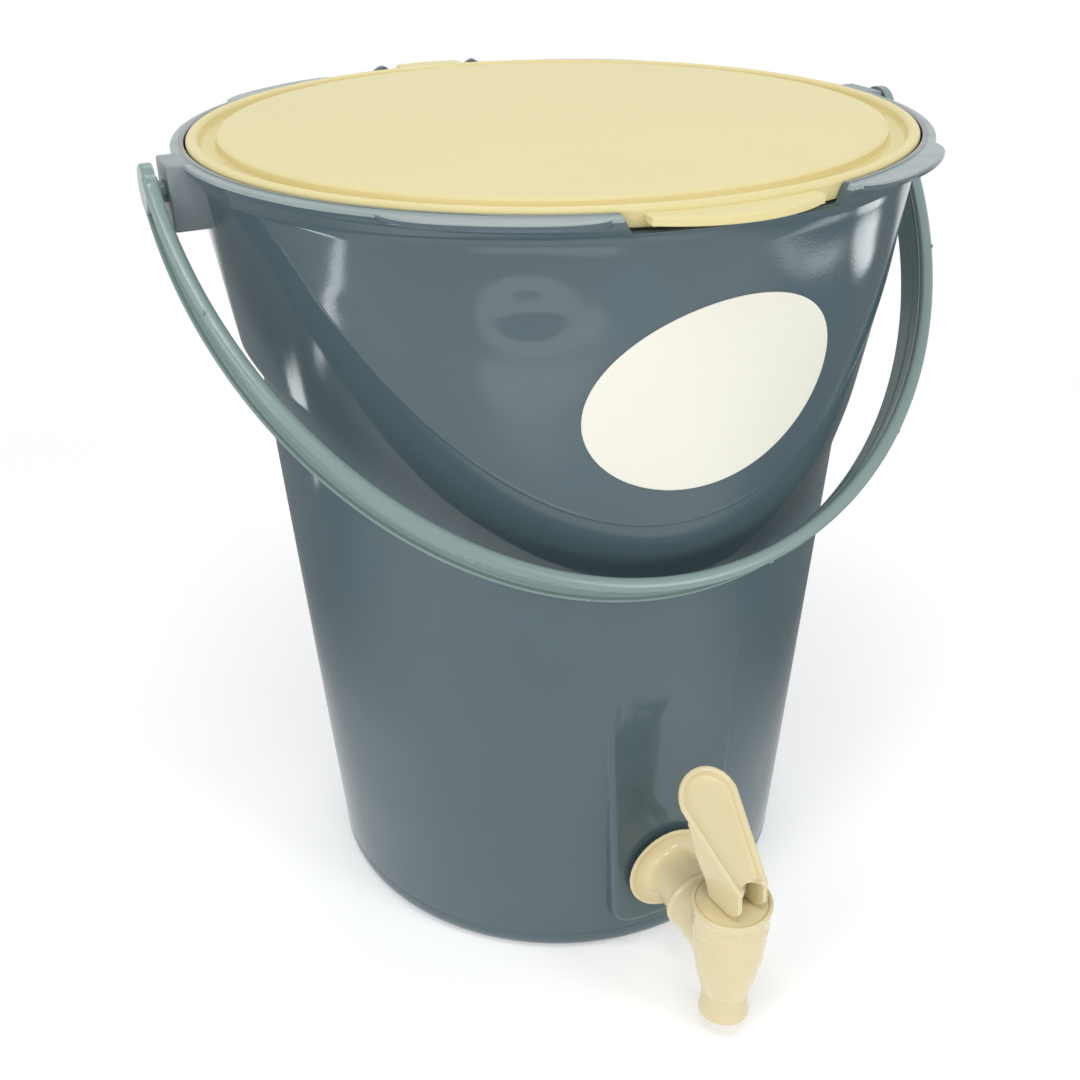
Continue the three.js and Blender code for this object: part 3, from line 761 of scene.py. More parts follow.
    def rim_rows(self, azimuth: np.ndarray) -> Rows:
        """Rows up the flare, round the crescent grips and over the rim.

        Args:
            azimuth: Radians from the front, one for each column.

        Returns:
            Radius and height of each row.
        """
        degrees = np.degrees(np.arccos(np.abs(np.cos(azimuth))))
        one = np.ones_like(azimuth)
        share = (degrees - self.grip_inner) / (self.grip_outer - self.grip_inner)
        swell = np.where((share > 0) & (share < 1), 1 - np.abs(2 * np.clip(share, 0, 1) - 1) ** 4, 0) ** 0.5
        reach = np.maximum(self.rim_radius, self.grip_root + (self.grip_reach - self.grip_root) * swell)
        gripped = np.clip((reach - self.rim_radius) / 1.5, 0, 1)
        plain = 1 - gripped
        top, foot = self.rim_height, self.grip_foot
        flange = top - self.ridge_tall
        e = self.edge
        rows = level(self.flare, one)
        rows += [
            (reach - 0.5 * plain - e * gripped, foot + 0.5 * plain),
            (reach - 0.15 * plain - 0.3 * e * gripped, foot + 0.9 * plain + 0.3 * e * gripped),
            (reach, foot + 1.3 * plain + e * gripped),
            (reach, (flange - 0.6) * one),
            (reach - 0.2, (flange - 0.18) * one),
            (reach - 0.6, flange * one),
            (reach - 0.9, flange * one),
        ]
        mouth, ridge = self.mouth_radius, self.ridge_radius
        ring = [(ridge + 0.7, flange), (ridge + 0.35, flange), (ridge + 0.1, flange + 0.12)]
        ring += [(ridge, top - 0.2), (ridge - 0.2, top)]
        ring += [(mouth + e, top), (mouth + 0.3 * e, top - 0.3 * e), (mouth, top - e)]
        ring += [(mouth, self.seat + 1), (mouth, self.seat)]
        rows += level(ring, one)
        is_back = np.cos(azimuth) < 0
        depth = degrees - np.where(is_back, self.notch_half_angles[1], self.notch_half_angles[0])
        end = np.where(is_back, self.notch_end_angles[1], self.notch_end_angles[0])
        open_share = ease(depth / end)
        ceiling = top - self.lip_tall * (1 - open_share)
        heights = [top - self.lip_tall, foot + 1, flange - 0.5]
        reaches = [self.notch_reach, self.rim_radius, self.grip_reach]
        limit = np.interp(ceiling, heights, reaches)
        bump = np.exp(-(((degrees - self.bump_angle) / self.bump_half_angle) ** 2)) * self.bump_rise
        cut = []
        for radius, z in rows:
            lifted = z + np.where(is_back & (z > foot + 1), bump, 0)
            low = np.minimum(lifted, ceiling + np.where(is_back, bump, 0))
            cut.append((np.minimum(radius, limit), np.where(depth < end, low, lifted)))
        return cut

    def shell(self) -> Object:
        """Lays the whole shell, from the underside over the rim to the floor inside.

        Returns:
            The shell as one closed surface.
        """
        azimuth = self.azimuths()
        turned_az = azimuth - math.radians(self.shield_turn)
        one = np.ones_like(azimuth)
        recess = self.foot_recess
        foot = self.base_radius - self.base_round
        base = [(0, recess), (45, recess), (90, recess), (foot - 8, recess)]
        base += [(foot - 6.5, recess * 0.6), (foot - 5.5, 0), (foot, 0)]
        base += arc((foot, self.base_round), (self.base_round, self.base_round), (-67.5, -45, -22.5))
        line = self.ring_line
        heights = [6, 8, line - 0.9, line - 0.4, line, line + 0.4, line + 0.9, 13.5, 15.5, *range(17, 32)]
        heights += [34, 38, 44, 52, 60, 70, 80, 92, 104, 116, 128, 140, 152, 160, 168]
        band, thick = self.band(turned_az), self.band_thickness(turned_az)
        crease = np.minimum(self.crease(turned_az), self.skin_top - 8)
        low, high = band - thick / 2, band + thick / 2
        walls = [z * one for z in heights]
        walls += [heights[-1] + (low - heights[-1]) * s for s in (0.25, 0.5, 0.75)]
        walls += [low + (high - low) * s for s in np.linspace(0, 1, 13)]
        walls += [high + (crease - 2.5 - high) * s for s in np.linspace(0, 1, 8)[1:-1]]
        walls += [crease + step for step in (-2.5, -1.3, -0.8, -0.4, 0, 0.4, 0.8, 1.3, 2.5)]
        walls += [crease + 2.5 + (self.skin_top - crease - 2.5) * s for s in np.linspace(0, 1, 25)[1:]]
        outer = []
        for z in walls:
            radius = self.pad(azimuth, z, self.skin(turned_az, z) + self.marks(turned_az, z), 0)
            groove = self.ring_line_depth * (np.abs(z - line) < 0.1)
            outer.append((radius - groove, z))
        inner = []
        for z in walls[::-1][::2]:
            if np.min(z) > self.floor + 5:
                inner.append((self.pad(azimuth, z, self.skin(turned_az, z) - self.wall, self.wall), z))
        well = self.base_radius - self.wall
        floor = [(well, self.floor + 3.5), (well - 0.9, self.floor + 0.9), (well - 3, self.floor)]
        floor += [(90, self.floor), (45, self.floor), (0, self.floor)]
        rows = level(base, one) + outer + self.rim_rows(azimuth) + inner + level(floor, one)
        radii = np.array([r for r, _ in rows])
        tall = np.array([z for _, z in rows])

        def place(column: np.ndarray, row: np.ndarray) -> np.ndarray:
            """Place of each corner of the grid."""
            radius, turn = radii[row, column], azimuth[column]
            return np.stack([radius * np.sin(turn), -radius * np.cos(turn), tall[row, column]], axis=1)

        return wrapped("shell", len(azimuth) - 1, len(rows) - 1, place)

    def lug(self, side: int) -> Object:
        """Models one of the two lugs that carry the handle, with its socket.

        Args:
            side: 1 on the right and -1 on the left.

        Returns:
            The lug, with its root sunk into the wall.
        """
        top = self.rim_height - self.lug_drop
        near, far = sorted((side * self.lug_root, side * self.lug_face))
        obj = block((near, -self.lug_half_width, top - self.lug_tall), (far, self.lug_half_width, top))
        edit(obj)
        pick(obj, "EDGE", lambda middle: abs(middle.x) > self.lug_root + 0.1)
        bpy.ops.mesh.bevel(offset=self.edge, segments=3, affect="EDGES")
        for height in (self.skin_top, self.seat):
            bpy.ops.mesh.select_all(action="SELECT")
            bpy.ops.mesh.bisect(plane_co=(0, 0, height), plane_no=(0, 0, 1))
        close_edit()
        # the root stays inside the wall all the way up
        heights = [top - self.lug_tall, self.skin_top, self.seat, top]
        for vertex in obj.data.vertices:
            if abs(vertex.co.x) < self.lug_root + 0.1:
                vertex.co.x = side * float(np.interp(vertex.co.z, heights, self.lug_roots))
        deep = self.lug_face + 2 - self.socket_foot
        middle = side * (self.socket_foot + deep / 2)
        combine(obj, rod(self.socket_radius, deep, (middle, 0, self.pivot_height), "X"), Cut.REMOVE)
        return obj

    def build(self) -> None:
        """Models and dresses the bucket."""
        shell = self.shell()
        hole = rod(self.tap_hole, 20, (0, -self.pad_face + 1, self.tap_height), "Y", 64)
        combine(shell, hole, Cut.REMOVE)
        shell.data.materials.append(FINISHES.get(SLATE))
        shell.data.materials.append(FINISHES.get(WORN_AND_SHEEN_RIM))
        # the flange and grip tops take the paler rim finish: partly wear, partly a painted sheen on faces
        # that look up
        worn_sheen_foot = self.rim_height - self.ridge_tall - self.worn_sheen_tall
        edit(shell)
        pick(shell, "FACE", lambda middle: middle.z > worn_sheen_foot and middle.xy.length > self.ridge_radius)
        shell.active_material_index = 1
        bpy.ops.object.material_slot_assign()
        close_edit()
        lugs = [self.lug(side) for side in (1, -1)]
        for lug in lugs:
            lug.data.materials.append(FINISHES.get(SCUFFED))
        merged([shell, *lugs])
        finish_piece(shell, "bucket_shell", "bucket_body", ["bucket"], SLATE, 38)


@dataclass
class Lid:
    """The cream lid: a domed disc, a groove and a bead, a hollow plug below, and two tabs."""

    top: float = 359.8
    dome: float = 2.4
    disc_radius: float = 136.2
    disc_edge: float = 1.6
    ring_inner: float = 143
    radius: float = 148
    groove_depth: float = 4
    thick: float = 2.2
    plug_radius: float = 141.5
    plug_depth: float = 17
    flange_foot: float = 352.7
    sides: int = 192
    turn: float = -1.0
    tab_halves: Pair = (32.5, 16.8)
    tab_reach: float = 160
    tab_front_radius: float = 58
    tab_root: float = 141
    tab_drops: Pair = (2.2, 0.5)
    tab_thick: float = 3.2
    tab_corner: float = 2.2
    tab_edge: float = 0.8

    def crown(self, radius: float) -> float:
        """Height of the disc's top at a radius."""
        return self.top + self.dome * (1 - (radius / self.disc_radius) ** 2)

    def plate(self) -> Object:
        """Turns the lid's plate, with the gate mark at its centre and the faint rings around it.

        Returns:
            The plate.
        """
        edge, thick, disc, top = self.disc_edge, self.thick, self.disc_radius, self.top
        peak = self.crown(0)
        upper = [(2.2, peak), (3.0, peak - 0.12), (3.4, peak - 0.4), (7, peak - 0.5)]
        upper += [(15, self.crown(15) - 0.3), *[(r, self.crown(r)) for r in range(24, 128, 8)]]
        upper += [(disc - edge - 1.5, top + 0.12), (disc - edge, top), (disc - edge / 2, top - 0.25)]
        upper += [(disc - 0.2, top - 0.8), (disc, top - edge)]
        groove = top - self.groove_depth
        upper += [(disc + 0.3, groove + 0.7), (disc + 0.9, groove), (self.ring_inner - 0.9, groove)]
        middle, half = (self.ring_inner + self.radius) / 2, (self.radius - self.ring_inner) / 2
        upper += [(self.ring_inner - 0.3, groove + 0.7)]
        upper += arc((middle, top - 1.9), (-half, 1.9), range(0, 181, 20))
        plug, flange, foot = self.plug_radius, self.flange_foot, top - self.plug_depth
        under = [(self.radius, flange + 0.4), (self.radius - 0.4, flange), (plug + 0.5, flange)]
        under += [(plug, flange - 0.5), (plug, foot + 0.8), (plug - 0.8, foot), (plug - thick, foot)]
        under += [(plug - thick, groove - thick), (disc - thick, groove - thick)]
        under += [(disc - thick, top - thick - 1.5), (disc - thick - 2, top - thick)]
        under += [(r, self.crown(r) - thick) for r in (120, 90, 60, 30, 3)]
        return turned("plate", upper + under, self.sides)

    def tab(self, half: float, drop: float) -> Object:
        """Cuts a tab with a rounded front out of a disc, and rounds its corners and edges.

        Args:
            half: Half its width.
            drop: How far it lies below the lid's ring.

        Returns:
            The tab, at the front.
        """
        front, reach = self.tab_front_radius, self.tab_reach
        top = self.top - drop
        middle = top - self.tab_thick / 2
        obj = rod(front, self.tab_thick, (0, front - reach, middle), "Z", 192)
        right, left, back = (half, 0, 0), (-half, 0, 0), (0, -self.tab_root, 0)
        for place, outwards in ((right, (1, 0, 0)), (left, (-1, 0, 0)), (back, (0, 1, 0))):
            edit(obj)
            bpy.ops.mesh.bisect(plane_co=place, plane_no=outwards, use_fill=True, clear_outer=True)
            close_edit()
        edit(obj)
        bpy.ops.mesh.dissolve_limited(angle_limit=math.radians(0.2))
        shoulder = reach - front + math.sqrt(front**2 - half**2) - 1

        def is_corner(place: Vector) -> bool:
            """True on the upright edges between the sides and the front."""
            return abs(abs(place.x) - half) < 0.01 and place.y < -shoulder and abs(place.z - middle) < 0.01

        pick(obj, "EDGE", is_corner)
        bpy.ops.mesh.bevel(offset=self.tab_corner, segments=6, affect="EDGES")
        for height in (top, top - self.tab_thick):
            round_outline(obj, self.tab_edge, lambda place, height=height: abs(place.z - height) < 0.01)
        close_edit()
        return obj

    def build(self) -> None:
        """Models and dresses the lid."""
        lid = self.plate()
        turns = (self.turn, self.turn + 180)
        for half, drop, turn in zip(self.tab_halves, self.tab_drops, turns, strict=True):
            tab = self.tab(half, drop)
            lean(tab, Matrix.Rotation(math.radians(turn), 4, "Z"), (0, 0, 0))
            combine(lid, tab, Cut.JOIN)
        finish_piece(lid, "lid_cover", "lid_body", ["lid"], CREAM, 30)


@dataclass
class Bail:
    """The sage handle: a channel strip with a bead along its front edge, bent to half an ellipse."""

    pivot_height: float = 347
    lean_angle: float = 42.8
    half_span: float = 163.8
    drop: float = 192
    rear: float = -3.5
    front: float = 16.5
    end_front: float = 11.5
    web: float = 2.4
    lip_tall: float = 4.6
    lip_thick: float = 2.2
    bead_thick: float = 5
    bead_tall: float = 5
    bead_inside: float = 0.8
    bead_squareness: float = 0.72
    eye_radius: float = 9.2
    eye_forward: float = 3
    eye_edge: float = 1.2
    pin_radius: float = 4
    pin_length: float = 10
    steps: int = 240
    nub_degrees: tuple[float, ...] = (23, 52, 81, 112, 141, 163)
    nub_radius: float = 1.15
    nub_inset: float = 2.2

    def section(self) -> list[Pair]:
        """Draws the strip's section.

        Returns:
            Its corners, as forward and outward from the strip's inside.
        """
        bead = self.front - self.bead_thick
        lip = self.rear + self.lip_thick
        points = [(self.rear + 0.5, 0), (self.rear, 0.5), (self.rear, self.lip_tall - 0.7)]
        points += [(self.rear + 0.7, self.lip_tall), (lip - 0.5, self.lip_tall), (lip, self.lip_tall - 0.5)]
        points += [(lip, self.web + 0.5), (lip + 0.5, self.web), ((lip + bead) / 2, self.web)]
        points += [(bead - 0.6, self.web)]
        middle, centre = self.front - self.bead_thick / 2, (self.bead_tall - self.bead_inside) / 2
        half, tall = self.bead_thick / 2, (self.bead_tall + self.bead_inside) / 2
        for c, s in arc((0, 0), (1, 1), range(170, -171, -20)):
            forward = middle + half * math.copysign(abs(c) ** self.bead_squareness, c)
            points.append((forward, centre + tall * math.copysign(abs(s) ** self.bead_squareness, s)))
        points += [(bead - 0.3, 0), (6.4, 0), (6.1, -0.35), (5.6, -0.35), (5.3, 0)]
        return points

    def strip(self) -> Object:
        """Sweeps the section along the half ellipse, narrower towards the pivots.

        Returns:
            The strip with both ends filled.
        """
        section = np.array(self.section())
        count = len(section)
        turn = np.linspace(0, math.pi, self.steps + 1)
        x, y = self.half_span * np.cos(turn), -self.drop * np.sin(turn)
        outward = np.stack([np.cos(turn) / self.half_span, -np.sin(turn) / self.drop], axis=1)
        outward /= np.linalg.norm(outward, axis=1)[:, None]
        climb = 1 + y / self.drop
        narrowing = (self.front - self.end_front) / (self.front - self.rear) * climb**3

        def place(column: np.ndarray, row: np.ndarray) -> np.ndarray:
            """Places the corners of the grid.

            Args:
                column: Steps along the strip.
                row: Steps round its section.

            Returns:
                Their places.
            """
            forward, out = section[row % count, 0], section[row % count, 1]
            forward = forward - (forward - self.rear) * narrowing[column]
            across, along = x[column] + out * outward[column, 0], y[column] + out * outward[column, 1]
            return np.stack([across, along, forward], axis=1)

        obj = wrapped("strip", self.steps, count, place)
        edit(obj)
        bpy.ops.mesh.fill_holes(sides=0)
        bpy.ops.mesh.normals_make_consistent(inside=False)
        close_edit()
        return obj

    def nubs(self) -> Object:
        """Models the moulding nubs left along the bead where the mould's halves meet.

        Returns:
            All the nubs as one object.
        """
        made = []
        reach = 1 + (self.bead_tall - 1.0) / self.half_span
        size = {"segments": 16, "ring_count": 8, "radius": self.nub_radius, "scale": (0.8, 0.8, 1.5)}
        for x, y in arc((0, 0), (self.half_span * reach, -self.drop * reach), self.nub_degrees):
            bpy.ops.mesh.primitive_uv_sphere_add(**size, location=(x, y, self.front - self.nub_inset))
            made.append(bpy.context.object)
            apply_place(made[-1])
        return merged(made)

    def build(self) -> None:
        """Models and dresses the handle."""
        strip = self.strip()
        face = self.half_span + self.lip_tall
        for side in (1, -1):
            middle = (side * (face - self.lip_tall / 2), 0, self.eye_forward)
            eye = rod(self.eye_radius, self.lip_tall, middle, "X", 64)
            edit(eye)
            round_outline(eye, self.eye_edge, lambda middle: abs(abs(middle.x) - face) < 0.1)
            close_edit()
            combine(strip, eye, Cut.JOIN)
            middle = (side * (self.half_span + (self.web - self.pin_length) / 2), 0, 0)
            combine(strip, rod(self.pin_radius, self.pin_length + self.web, middle, "X"), Cut.JOIN)
        combine(strip, self.nubs(), Cut.JOIN)
        turn = Matrix.Rotation(math.pi / 2 - math.radians(self.lean_angle), 4, "X")
        lean(strip, turn, (0, 0, self.pivot_height))
        finish_piece(strip, "handle_bail", "handle_body", ["handle"], SAGE, 34)


@dataclass
class Strainer:
    """The plate that holds the scraps above the liquid, on six legs."""

    top: float = 72.5
    thick: float = 2.5
    radius: float = 112.97
    edge: float = 0.6
    leg_radius: float = 5
    legs: int = 6
    leg_circle_share: float = 0.72
    leg_foot: float = 3.3
    hole_radius: float = 3
    rings: int = 4
    first_holes: int = 4
    more_holes: int = 6
    pitch: float = 24

    def build(self) -> None:
        """Models and dresses the strainer."""
        top, foot, edge, inside = self.top, self.top - self.thick, self.edge, self.radius - self.edge
        profile = [(3, foot), (inside, foot), (self.radius, foot + edge)]
        profile += [(self.radius, top - edge), (inside, top), (3, top)]
        plate = turned("plate", profile, 128)
        circle = self.radius * self.leg_circle_share
        tall = foot + 1 - self.leg_foot
        turns = [360 * (k + 0.5) / self.legs for k in range(self.legs)]
        for x, y in arc((0, 0), (circle, circle), turns):
            combine(plate, rod(self.leg_radius, tall, (x, y, self.leg_foot + tall / 2), "Z", 24), Cut.JOIN)
        cutters = []
        for ring in range(self.rings):
            reach = self.pitch * (ring + 0.5)
            count = self.first_holes + self.more_holes * ring
            if abs(reach - circle) <= self.leg_radius + self.hole_radius:
                continue
            turns = [360 * (k + 0.5 * (ring % 2)) / count for k in range(count)]
            for x, y in arc((0, 0), (reach, reach), turns):
                cutters.append(rod(self.hole_radius, self.thick + 4, (x, y, top - self.thick / 2), "Z", 20))
        combine(plate, merged(cutters), Cut.REMOVE)
        finish_piece(plate, "strainer_plate", "strainer_body", ["strainer"], SLATE, 35)


@dataclass
class Tap:
    """The cream drain tap: a threaded inlet with a flange, a valve cup, a cap and a flip lever."""

    height: float = 49.5
    reach: float = 172
    twist: float = 7
    pad_face: float = 119
    gap: float = 0.3
    washer_thick: float = 2
    flange_radius: float = 21
    flange_thick: float = 2.5
    thread_radius: float = 12
    thread_length: float = 24
    thread_pitch: float = 2
    thread_depth: float = 0.7
    bore: float = 8
    pipe_radius: float = 12.5
    pipe_length: float = 22
    collar_radius: float = 13.7
    bead_radius: float = 14.6
    cup_foot: float = 10.5
    cup_foot_radius: float = 11.2
    neck: Pair = (9.8, 22.5)
    waist: Pair = (11.6, 28)
    belly: tuple[Pair, ...] = ((13.4, 36), (15, 45), (15.7, 53))
    band_radius: float = 16.55
    cup_top: float = 74.3
    cup_radius: float = 17.2
    band_tall: float = 12
    cap_radius: float = 15.2
    cap_top: float = 73.6
    cap_thick: float = 4.3
    chamber_radius: float = 13.4
    chamber_foot: float = 48
    seat: Pair = (5, 26)
    throat_radius: float = 6
    outlet_radius: float = 8.6
    panel_turns: tuple[float, ...] = (-38, 2, 42, 110, 150, 190, 230)
    panel_half_angle: float = 17
    stem_radius: float = 3.2
    pin_height: float = 80.6
    lean_angle: float = 49.8
    throw_angle: float = 65
    lift: float = 5.2
    cheek_inner: float = 5.4
    cheek_thick: float = 2.2
    cheek_back: float = 6.5
    flank_share: float = 0.62
    plate_start: float = -4.3
    plate_length: float = 49.6
    plate_face: float = 14.8
    plate_half: float = 14
    tray_depth: float = 2.6
    tray_edge: float = 2.0
    wall: float = 2.0
    body_facet: float = 0.55
    lever_facet: float = 0.42

    def flange_back(self) -> float:
        """Distance from the bucket's axis to the back of the flange."""
        return self.pad_face + 2 * self.gap + self.washer_thick

    def inlet(self) -> Object:
        """Turns the threaded inlet, the flange, the pipe and its collar.

        Returns:
            The inlet, lying along Y at the tap's height.
        """
        back = self.flange_back()
        start = back - self.thread_length
        thread, flange = self.thread_radius, self.flange_radius
        pipe, bead, collar = self.pipe_radius, self.bead_radius, self.collar_radius
        profile = [(self.bore, start), (thread - 1, start), (thread, start + 1)]
        turns = int((self.thread_length - 5) / self.thread_pitch)
        for k in range(turns):
            foot = start + 1.5 + k * self.thread_pitch
            profile += [(thread, foot), (thread - self.thread_depth, foot + self.thread_pitch / 2)]
        profile += [(thread, start + 1.5 + turns * self.thread_pitch), (thread, back)]
        profile += [(flange - 0.4, back), (flange, back + 0.5), (flange - 0.1, back + 1.2)]
        profile += [(flange - 0.8, back + 1.7), (flange - 1.6, back + 1.6), (flange - 3.5, back + 1.2)]
        profile += [(pipe + 4.2, back + 1.5)]
        profile += arc((pipe + 3.8, back + 5.8), (-3.8, -4.2), range(75, -1, -15))
        end = back + self.flange_thick + self.pipe_length
        profile += [(pipe - 0.3, end - 2.6), (bead - 0.4, end - 2.4), (bead, end - 1.8), (bead, end - 0.6)]
        profile += [(bead - 0.4, end), (collar, end + 0.1), (collar + 0.1, self.reach)]
        profile += [(self.bore, self.reach)]
        obj = turned("inlet", profile, 96, closed=True)
        lean(obj, Matrix.Rotation(math.pi / 2, 4, "X"), (0, 0, self.height))
        return obj

    def cup(self) -> Object:
        """Turns the valve cup with its rim, its moulded panels and the spout.

        Returns:
            The cup, on the valve's axis.
        """
        foot, top, spout, rim = self.cup_foot, self.cup_top, self.cup_foot_radius, self.cup_radius
        (neck_r, neck_z), (waist_r, waist_z) = self.neck, self.waist
        band, band_foot = self.band_radius, top - self.band_tall
        profile = [(spout - 0.5, foot), (spout, foot + 0.5), (spout - 0.35, foot + 2.5)]
        profile += [(neck_r + 0.5, foot + 7), (neck_r, neck_z - 1), (neck_r + 0.15, neck_z + 0.6)]
        profile += [(waist_r - 0.7, neck_z + 2.5), (waist_r + 0.4, waist_z + 1), *self.belly]
        profile += [(band - 0.4, band_foot - 1.6), (band - 0.35, band_foot - 0.9), (band, band_foot)]
        profile += [(band + 0.05, band_foot + 1), (band + 0.15, top - 3.5), (band + 0.3, top - 3)]
        profile += [(rim, top - 2.4), (rim, top - 0.5), (rim - 0.5, top), (self.cap_radius + 0.7, top)]
        recess, chamber = self.cap_radius + 0.02, self.chamber_radius
        profile += [(recess, top - 0.6)]
        ledge = self.cap_top - self.cap_thick - 2.7
        profile += [(recess, ledge), (chamber, ledge), (chamber, self.chamber_foot), self.seat]
        profile += [(self.throat_radius, neck_z), (self.outlet_radius, foot)]
        obj = turned("cup", profile, 96, closed=True)
        edit(obj)
        low, high = band_foot + 0.5, top - 3.6

        def in_panel(middle: Vector, centre: float) -> bool:
            """True on the outside of the band, within a panel's width."""
            apart = abs((math.degrees(math.atan2(middle.x, -middle.y)) - centre + 180) % 360 - 180)
            return low < middle.z < high and apart < self.panel_half_angle and middle.xy.length > 16

        for centre in self.panel_turns:
            pick(obj, "FACE", lambda middle, centre=centre: in_panel(middle, centre))
            bpy.ops.mesh.inset(thickness=0.3, depth=-0.5)
        close_edit()
        lean(obj, Matrix.Identity(4), (0, -self.reach, 0))
        return obj

    def casting(self) -> Object:
        """Joins the inlet and the cup and opens the way between them.

        Returns:
            The tap's body.
        """
        body = self.inlet()
        cup = self.cup()
        hollow = rod(self.chamber_radius - 0.2, 18, (0, -self.reach, self.chamber_foot + 9.5), "Z", 96)
        combine(body, hollow, Cut.REMOVE)
        combine(body, cup, Cut.JOIN)
        end = self.reach - 12
        combine(body, rod(self.bore, 16, (0, -end, self.height), "Y", 48), Cut.REMOVE)
        return body

    def paddle_lean(self) -> Matrix:
        """The turn that leans the lever back from lying flat."""
        return Matrix.Rotation(math.pi / 2 - math.radians(self.lean_angle), 4, "X")

    def paddle(self) -> Object:
        """Models the paddle: a tapered plate with a round end, a sunk tray and a raised edge.

        Returns:
            The paddle, with Y along it and Z out of its face, from the pin.
        """
        tip = self.plate_length - self.plate_half
        start = self.plate_start
        base = self.cheek_inner + self.cheek_thick
        place = (0, tip, self.plate_face)
        bpy.ops.mesh.primitive_circle_add(vertices=64, radius=self.plate_half, location=place)
        obj = bpy.context.object
        apply_place(obj)
        edit(obj)
        bpy.ops.mesh.bisect(plane_co=(0, tip, 0), plane_no=(0, 1, 0), clear_inner=True)
        pick(obj, "VERT", lambda middle: abs(middle.y - tip) < 0.01)
        steps = 8
        halves = [self.plate_half + (base - self.plate_half) * k / steps for k in range(steps + 1)]
        for before, half in zip(halves, halves[1:], strict=False):
            bpy.ops.mesh.extrude_region_move(TRANSFORM_OT_translate={"value": (0, (start - tip) / steps, 0)})
            bpy.ops.transform.resize(value=(half / before, 1, 1), center_override=(0, 0, 0))
        bpy.ops.mesh.select_all(action="SELECT")
        bpy.ops.mesh.edge_face_add()
        bpy.ops.mesh.normals_make_consistent(inside=False)
        bpy.ops.mesh.inset(thickness=self.tray_edge)
        bpy.ops.mesh.inset(thickness=1.6, depth=-self.tray_depth)
        close_edit()
        modify(obj, "SOLIDIFY", thickness=self.wall, offset=-1, use_even_offset=True)
        tidy(obj)
        return obj

    def cheek_outline(self) -> list[Pair]:
        """Draws a cheek's side view, with the cam that rides on the cap.

        Returns:
            Its corners, as backwards and up from the pin.
        """
        rest = self.pin_height - self.cap_top - self.gap
        throw = math.radians(self.throw_angle)
        rate = self.lift / throw
        cam = []
        for turn in np.linspace(0, throw, 17).tolist():
            out, c, s = rest + rate * turn, math.cos(turn), math.sin(turn)
            cam.append((-out * s - rate * c, rate * s - out * c))

        def on_paddle(along: float, out: float) -> Pair:
            """Backwards and up of a point given along the paddle and out of its face."""
            point = self.paddle_lean() @ Vector((0, along, out))
            return point.y, point.z

        end = self.plate_length * self.flank_share
        face = self.plate_face - 0.4
        corners = [(end, face - self.tray_depth), (end, face), (self.plate_start + 0.2, face)]
        return [(self.cheek_back, -rest), *[on_paddle(*corner) for corner in corners], *cam[::-1]]

    def cheek(self, side: int) -> Object:
        """Models one cheek: a plate in the side view's outline, that widens with the paddle as it climbs.

        Args:
            side: 1 on the right and -1 on the left.

        Returns:
            The cheek, about the pin.
        """
        points = self.cheek_outline()
        bpy.ops.mesh.primitive_circle_add(vertices=len(points), radius=1, fill_type="NGON")
        obj = bpy.context.object
        centre = side * (self.cheek_inner + self.cheek_thick / 2)
        for vertex, (back, up) in zip(obj.data.vertices, points, strict=True):
            vertex.co = (centre - self.cheek_thick / 2, back, up)
        edit(obj)
        bpy.ops.mesh.extrude_region_move(TRANSFORM_OT_translate={"value": (self.cheek_thick, 0, 0)})
        bpy.ops.mesh.select_all(action="SELECT")
        bpy.ops.mesh.normals_make_consistent(inside=False)
        bpy.ops.mesh.quads_convert_to_tris()
        bpy.ops.mesh.subdivide(number_cuts=6)
        close_edit()
        base = self.cheek_inner + self.cheek_thick
        tip = self.plate_length - self.plate_half
        to_paddle = self.paddle_lean().inverted()
        for vertex in obj.data.vertices:
            flat = to_paddle @ vertex.co
            along = min(max(flat.y - self.plate_start, 0) / (tip - self.plate_start), 1)
            high = min(max((vertex.co.z + 2) / 12, 0), 1)
            vertex.co.x += side * (self.plate_half - base) * along * high
        return obj

    def lever(self) -> Object:
        """Joins the paddle and its cheeks, and rounds them as a moulding is.

        Returns:
            The lever, in its place on the valve.
        """
        lever = self.paddle()
        turn = self.paddle_lean()
        lean(lever, turn, (0, 0, 0))
        for side in (1, -1):
            combine(lever, self.cheek(side), Cut.JOIN)
        arch = rod(self.cheek_inner, 24, (0, self.plate_start - 1.6, self.plate_face), "Z", 48)
        lean(arch, turn, (0, 0, 0))
        combine(lever, arch, Cut.REMOVE)
        remoulded(lever, self.lever_facet, 5)
        lean(lever, Matrix.Rotation(math.radians(self.twist), 4, "Z"), (0, -self.reach, self.pin_height))
        return lever

    def cap(self) -> Object:
        """Turns the cap that closes the cup, with the stem's hole.

        Returns:
            The cap.
        """
        top, foot, radius = self.cap_top, self.cap_top - self.cap_thick, self.cap_radius
        bore = self.stem_radius + 0.35
        profile = [(bore, foot), (radius - 0.4, foot), (radius, foot + 0.4), (radius, top - 0.4)]
        profile += [(radius - 0.4, top), (bore + 0.5, top), (bore, top - 0.5)]
        obj = turned("cap", profile, 96, closed=True)
        lean(obj, Matrix.Identity(4), (0, -self.reach, 0))
        return obj

    def build(self) -> None:
        """Models and dresses the tap."""
        body = self.casting()
        remoulded(body, self.body_facet, 3)
        finish_piece(body, "tap_casting", "bucket_body", ["tap_body"], ACETAL, 60)
        finish_piece(self.cap(), "tap_cap", "bucket_body", ["tap_bonnet"], ACETAL, 40)
        finish_piece(self.lever(), "tap_flip_lever", "lever_body", ["tap_lever"], ACETAL, 60)


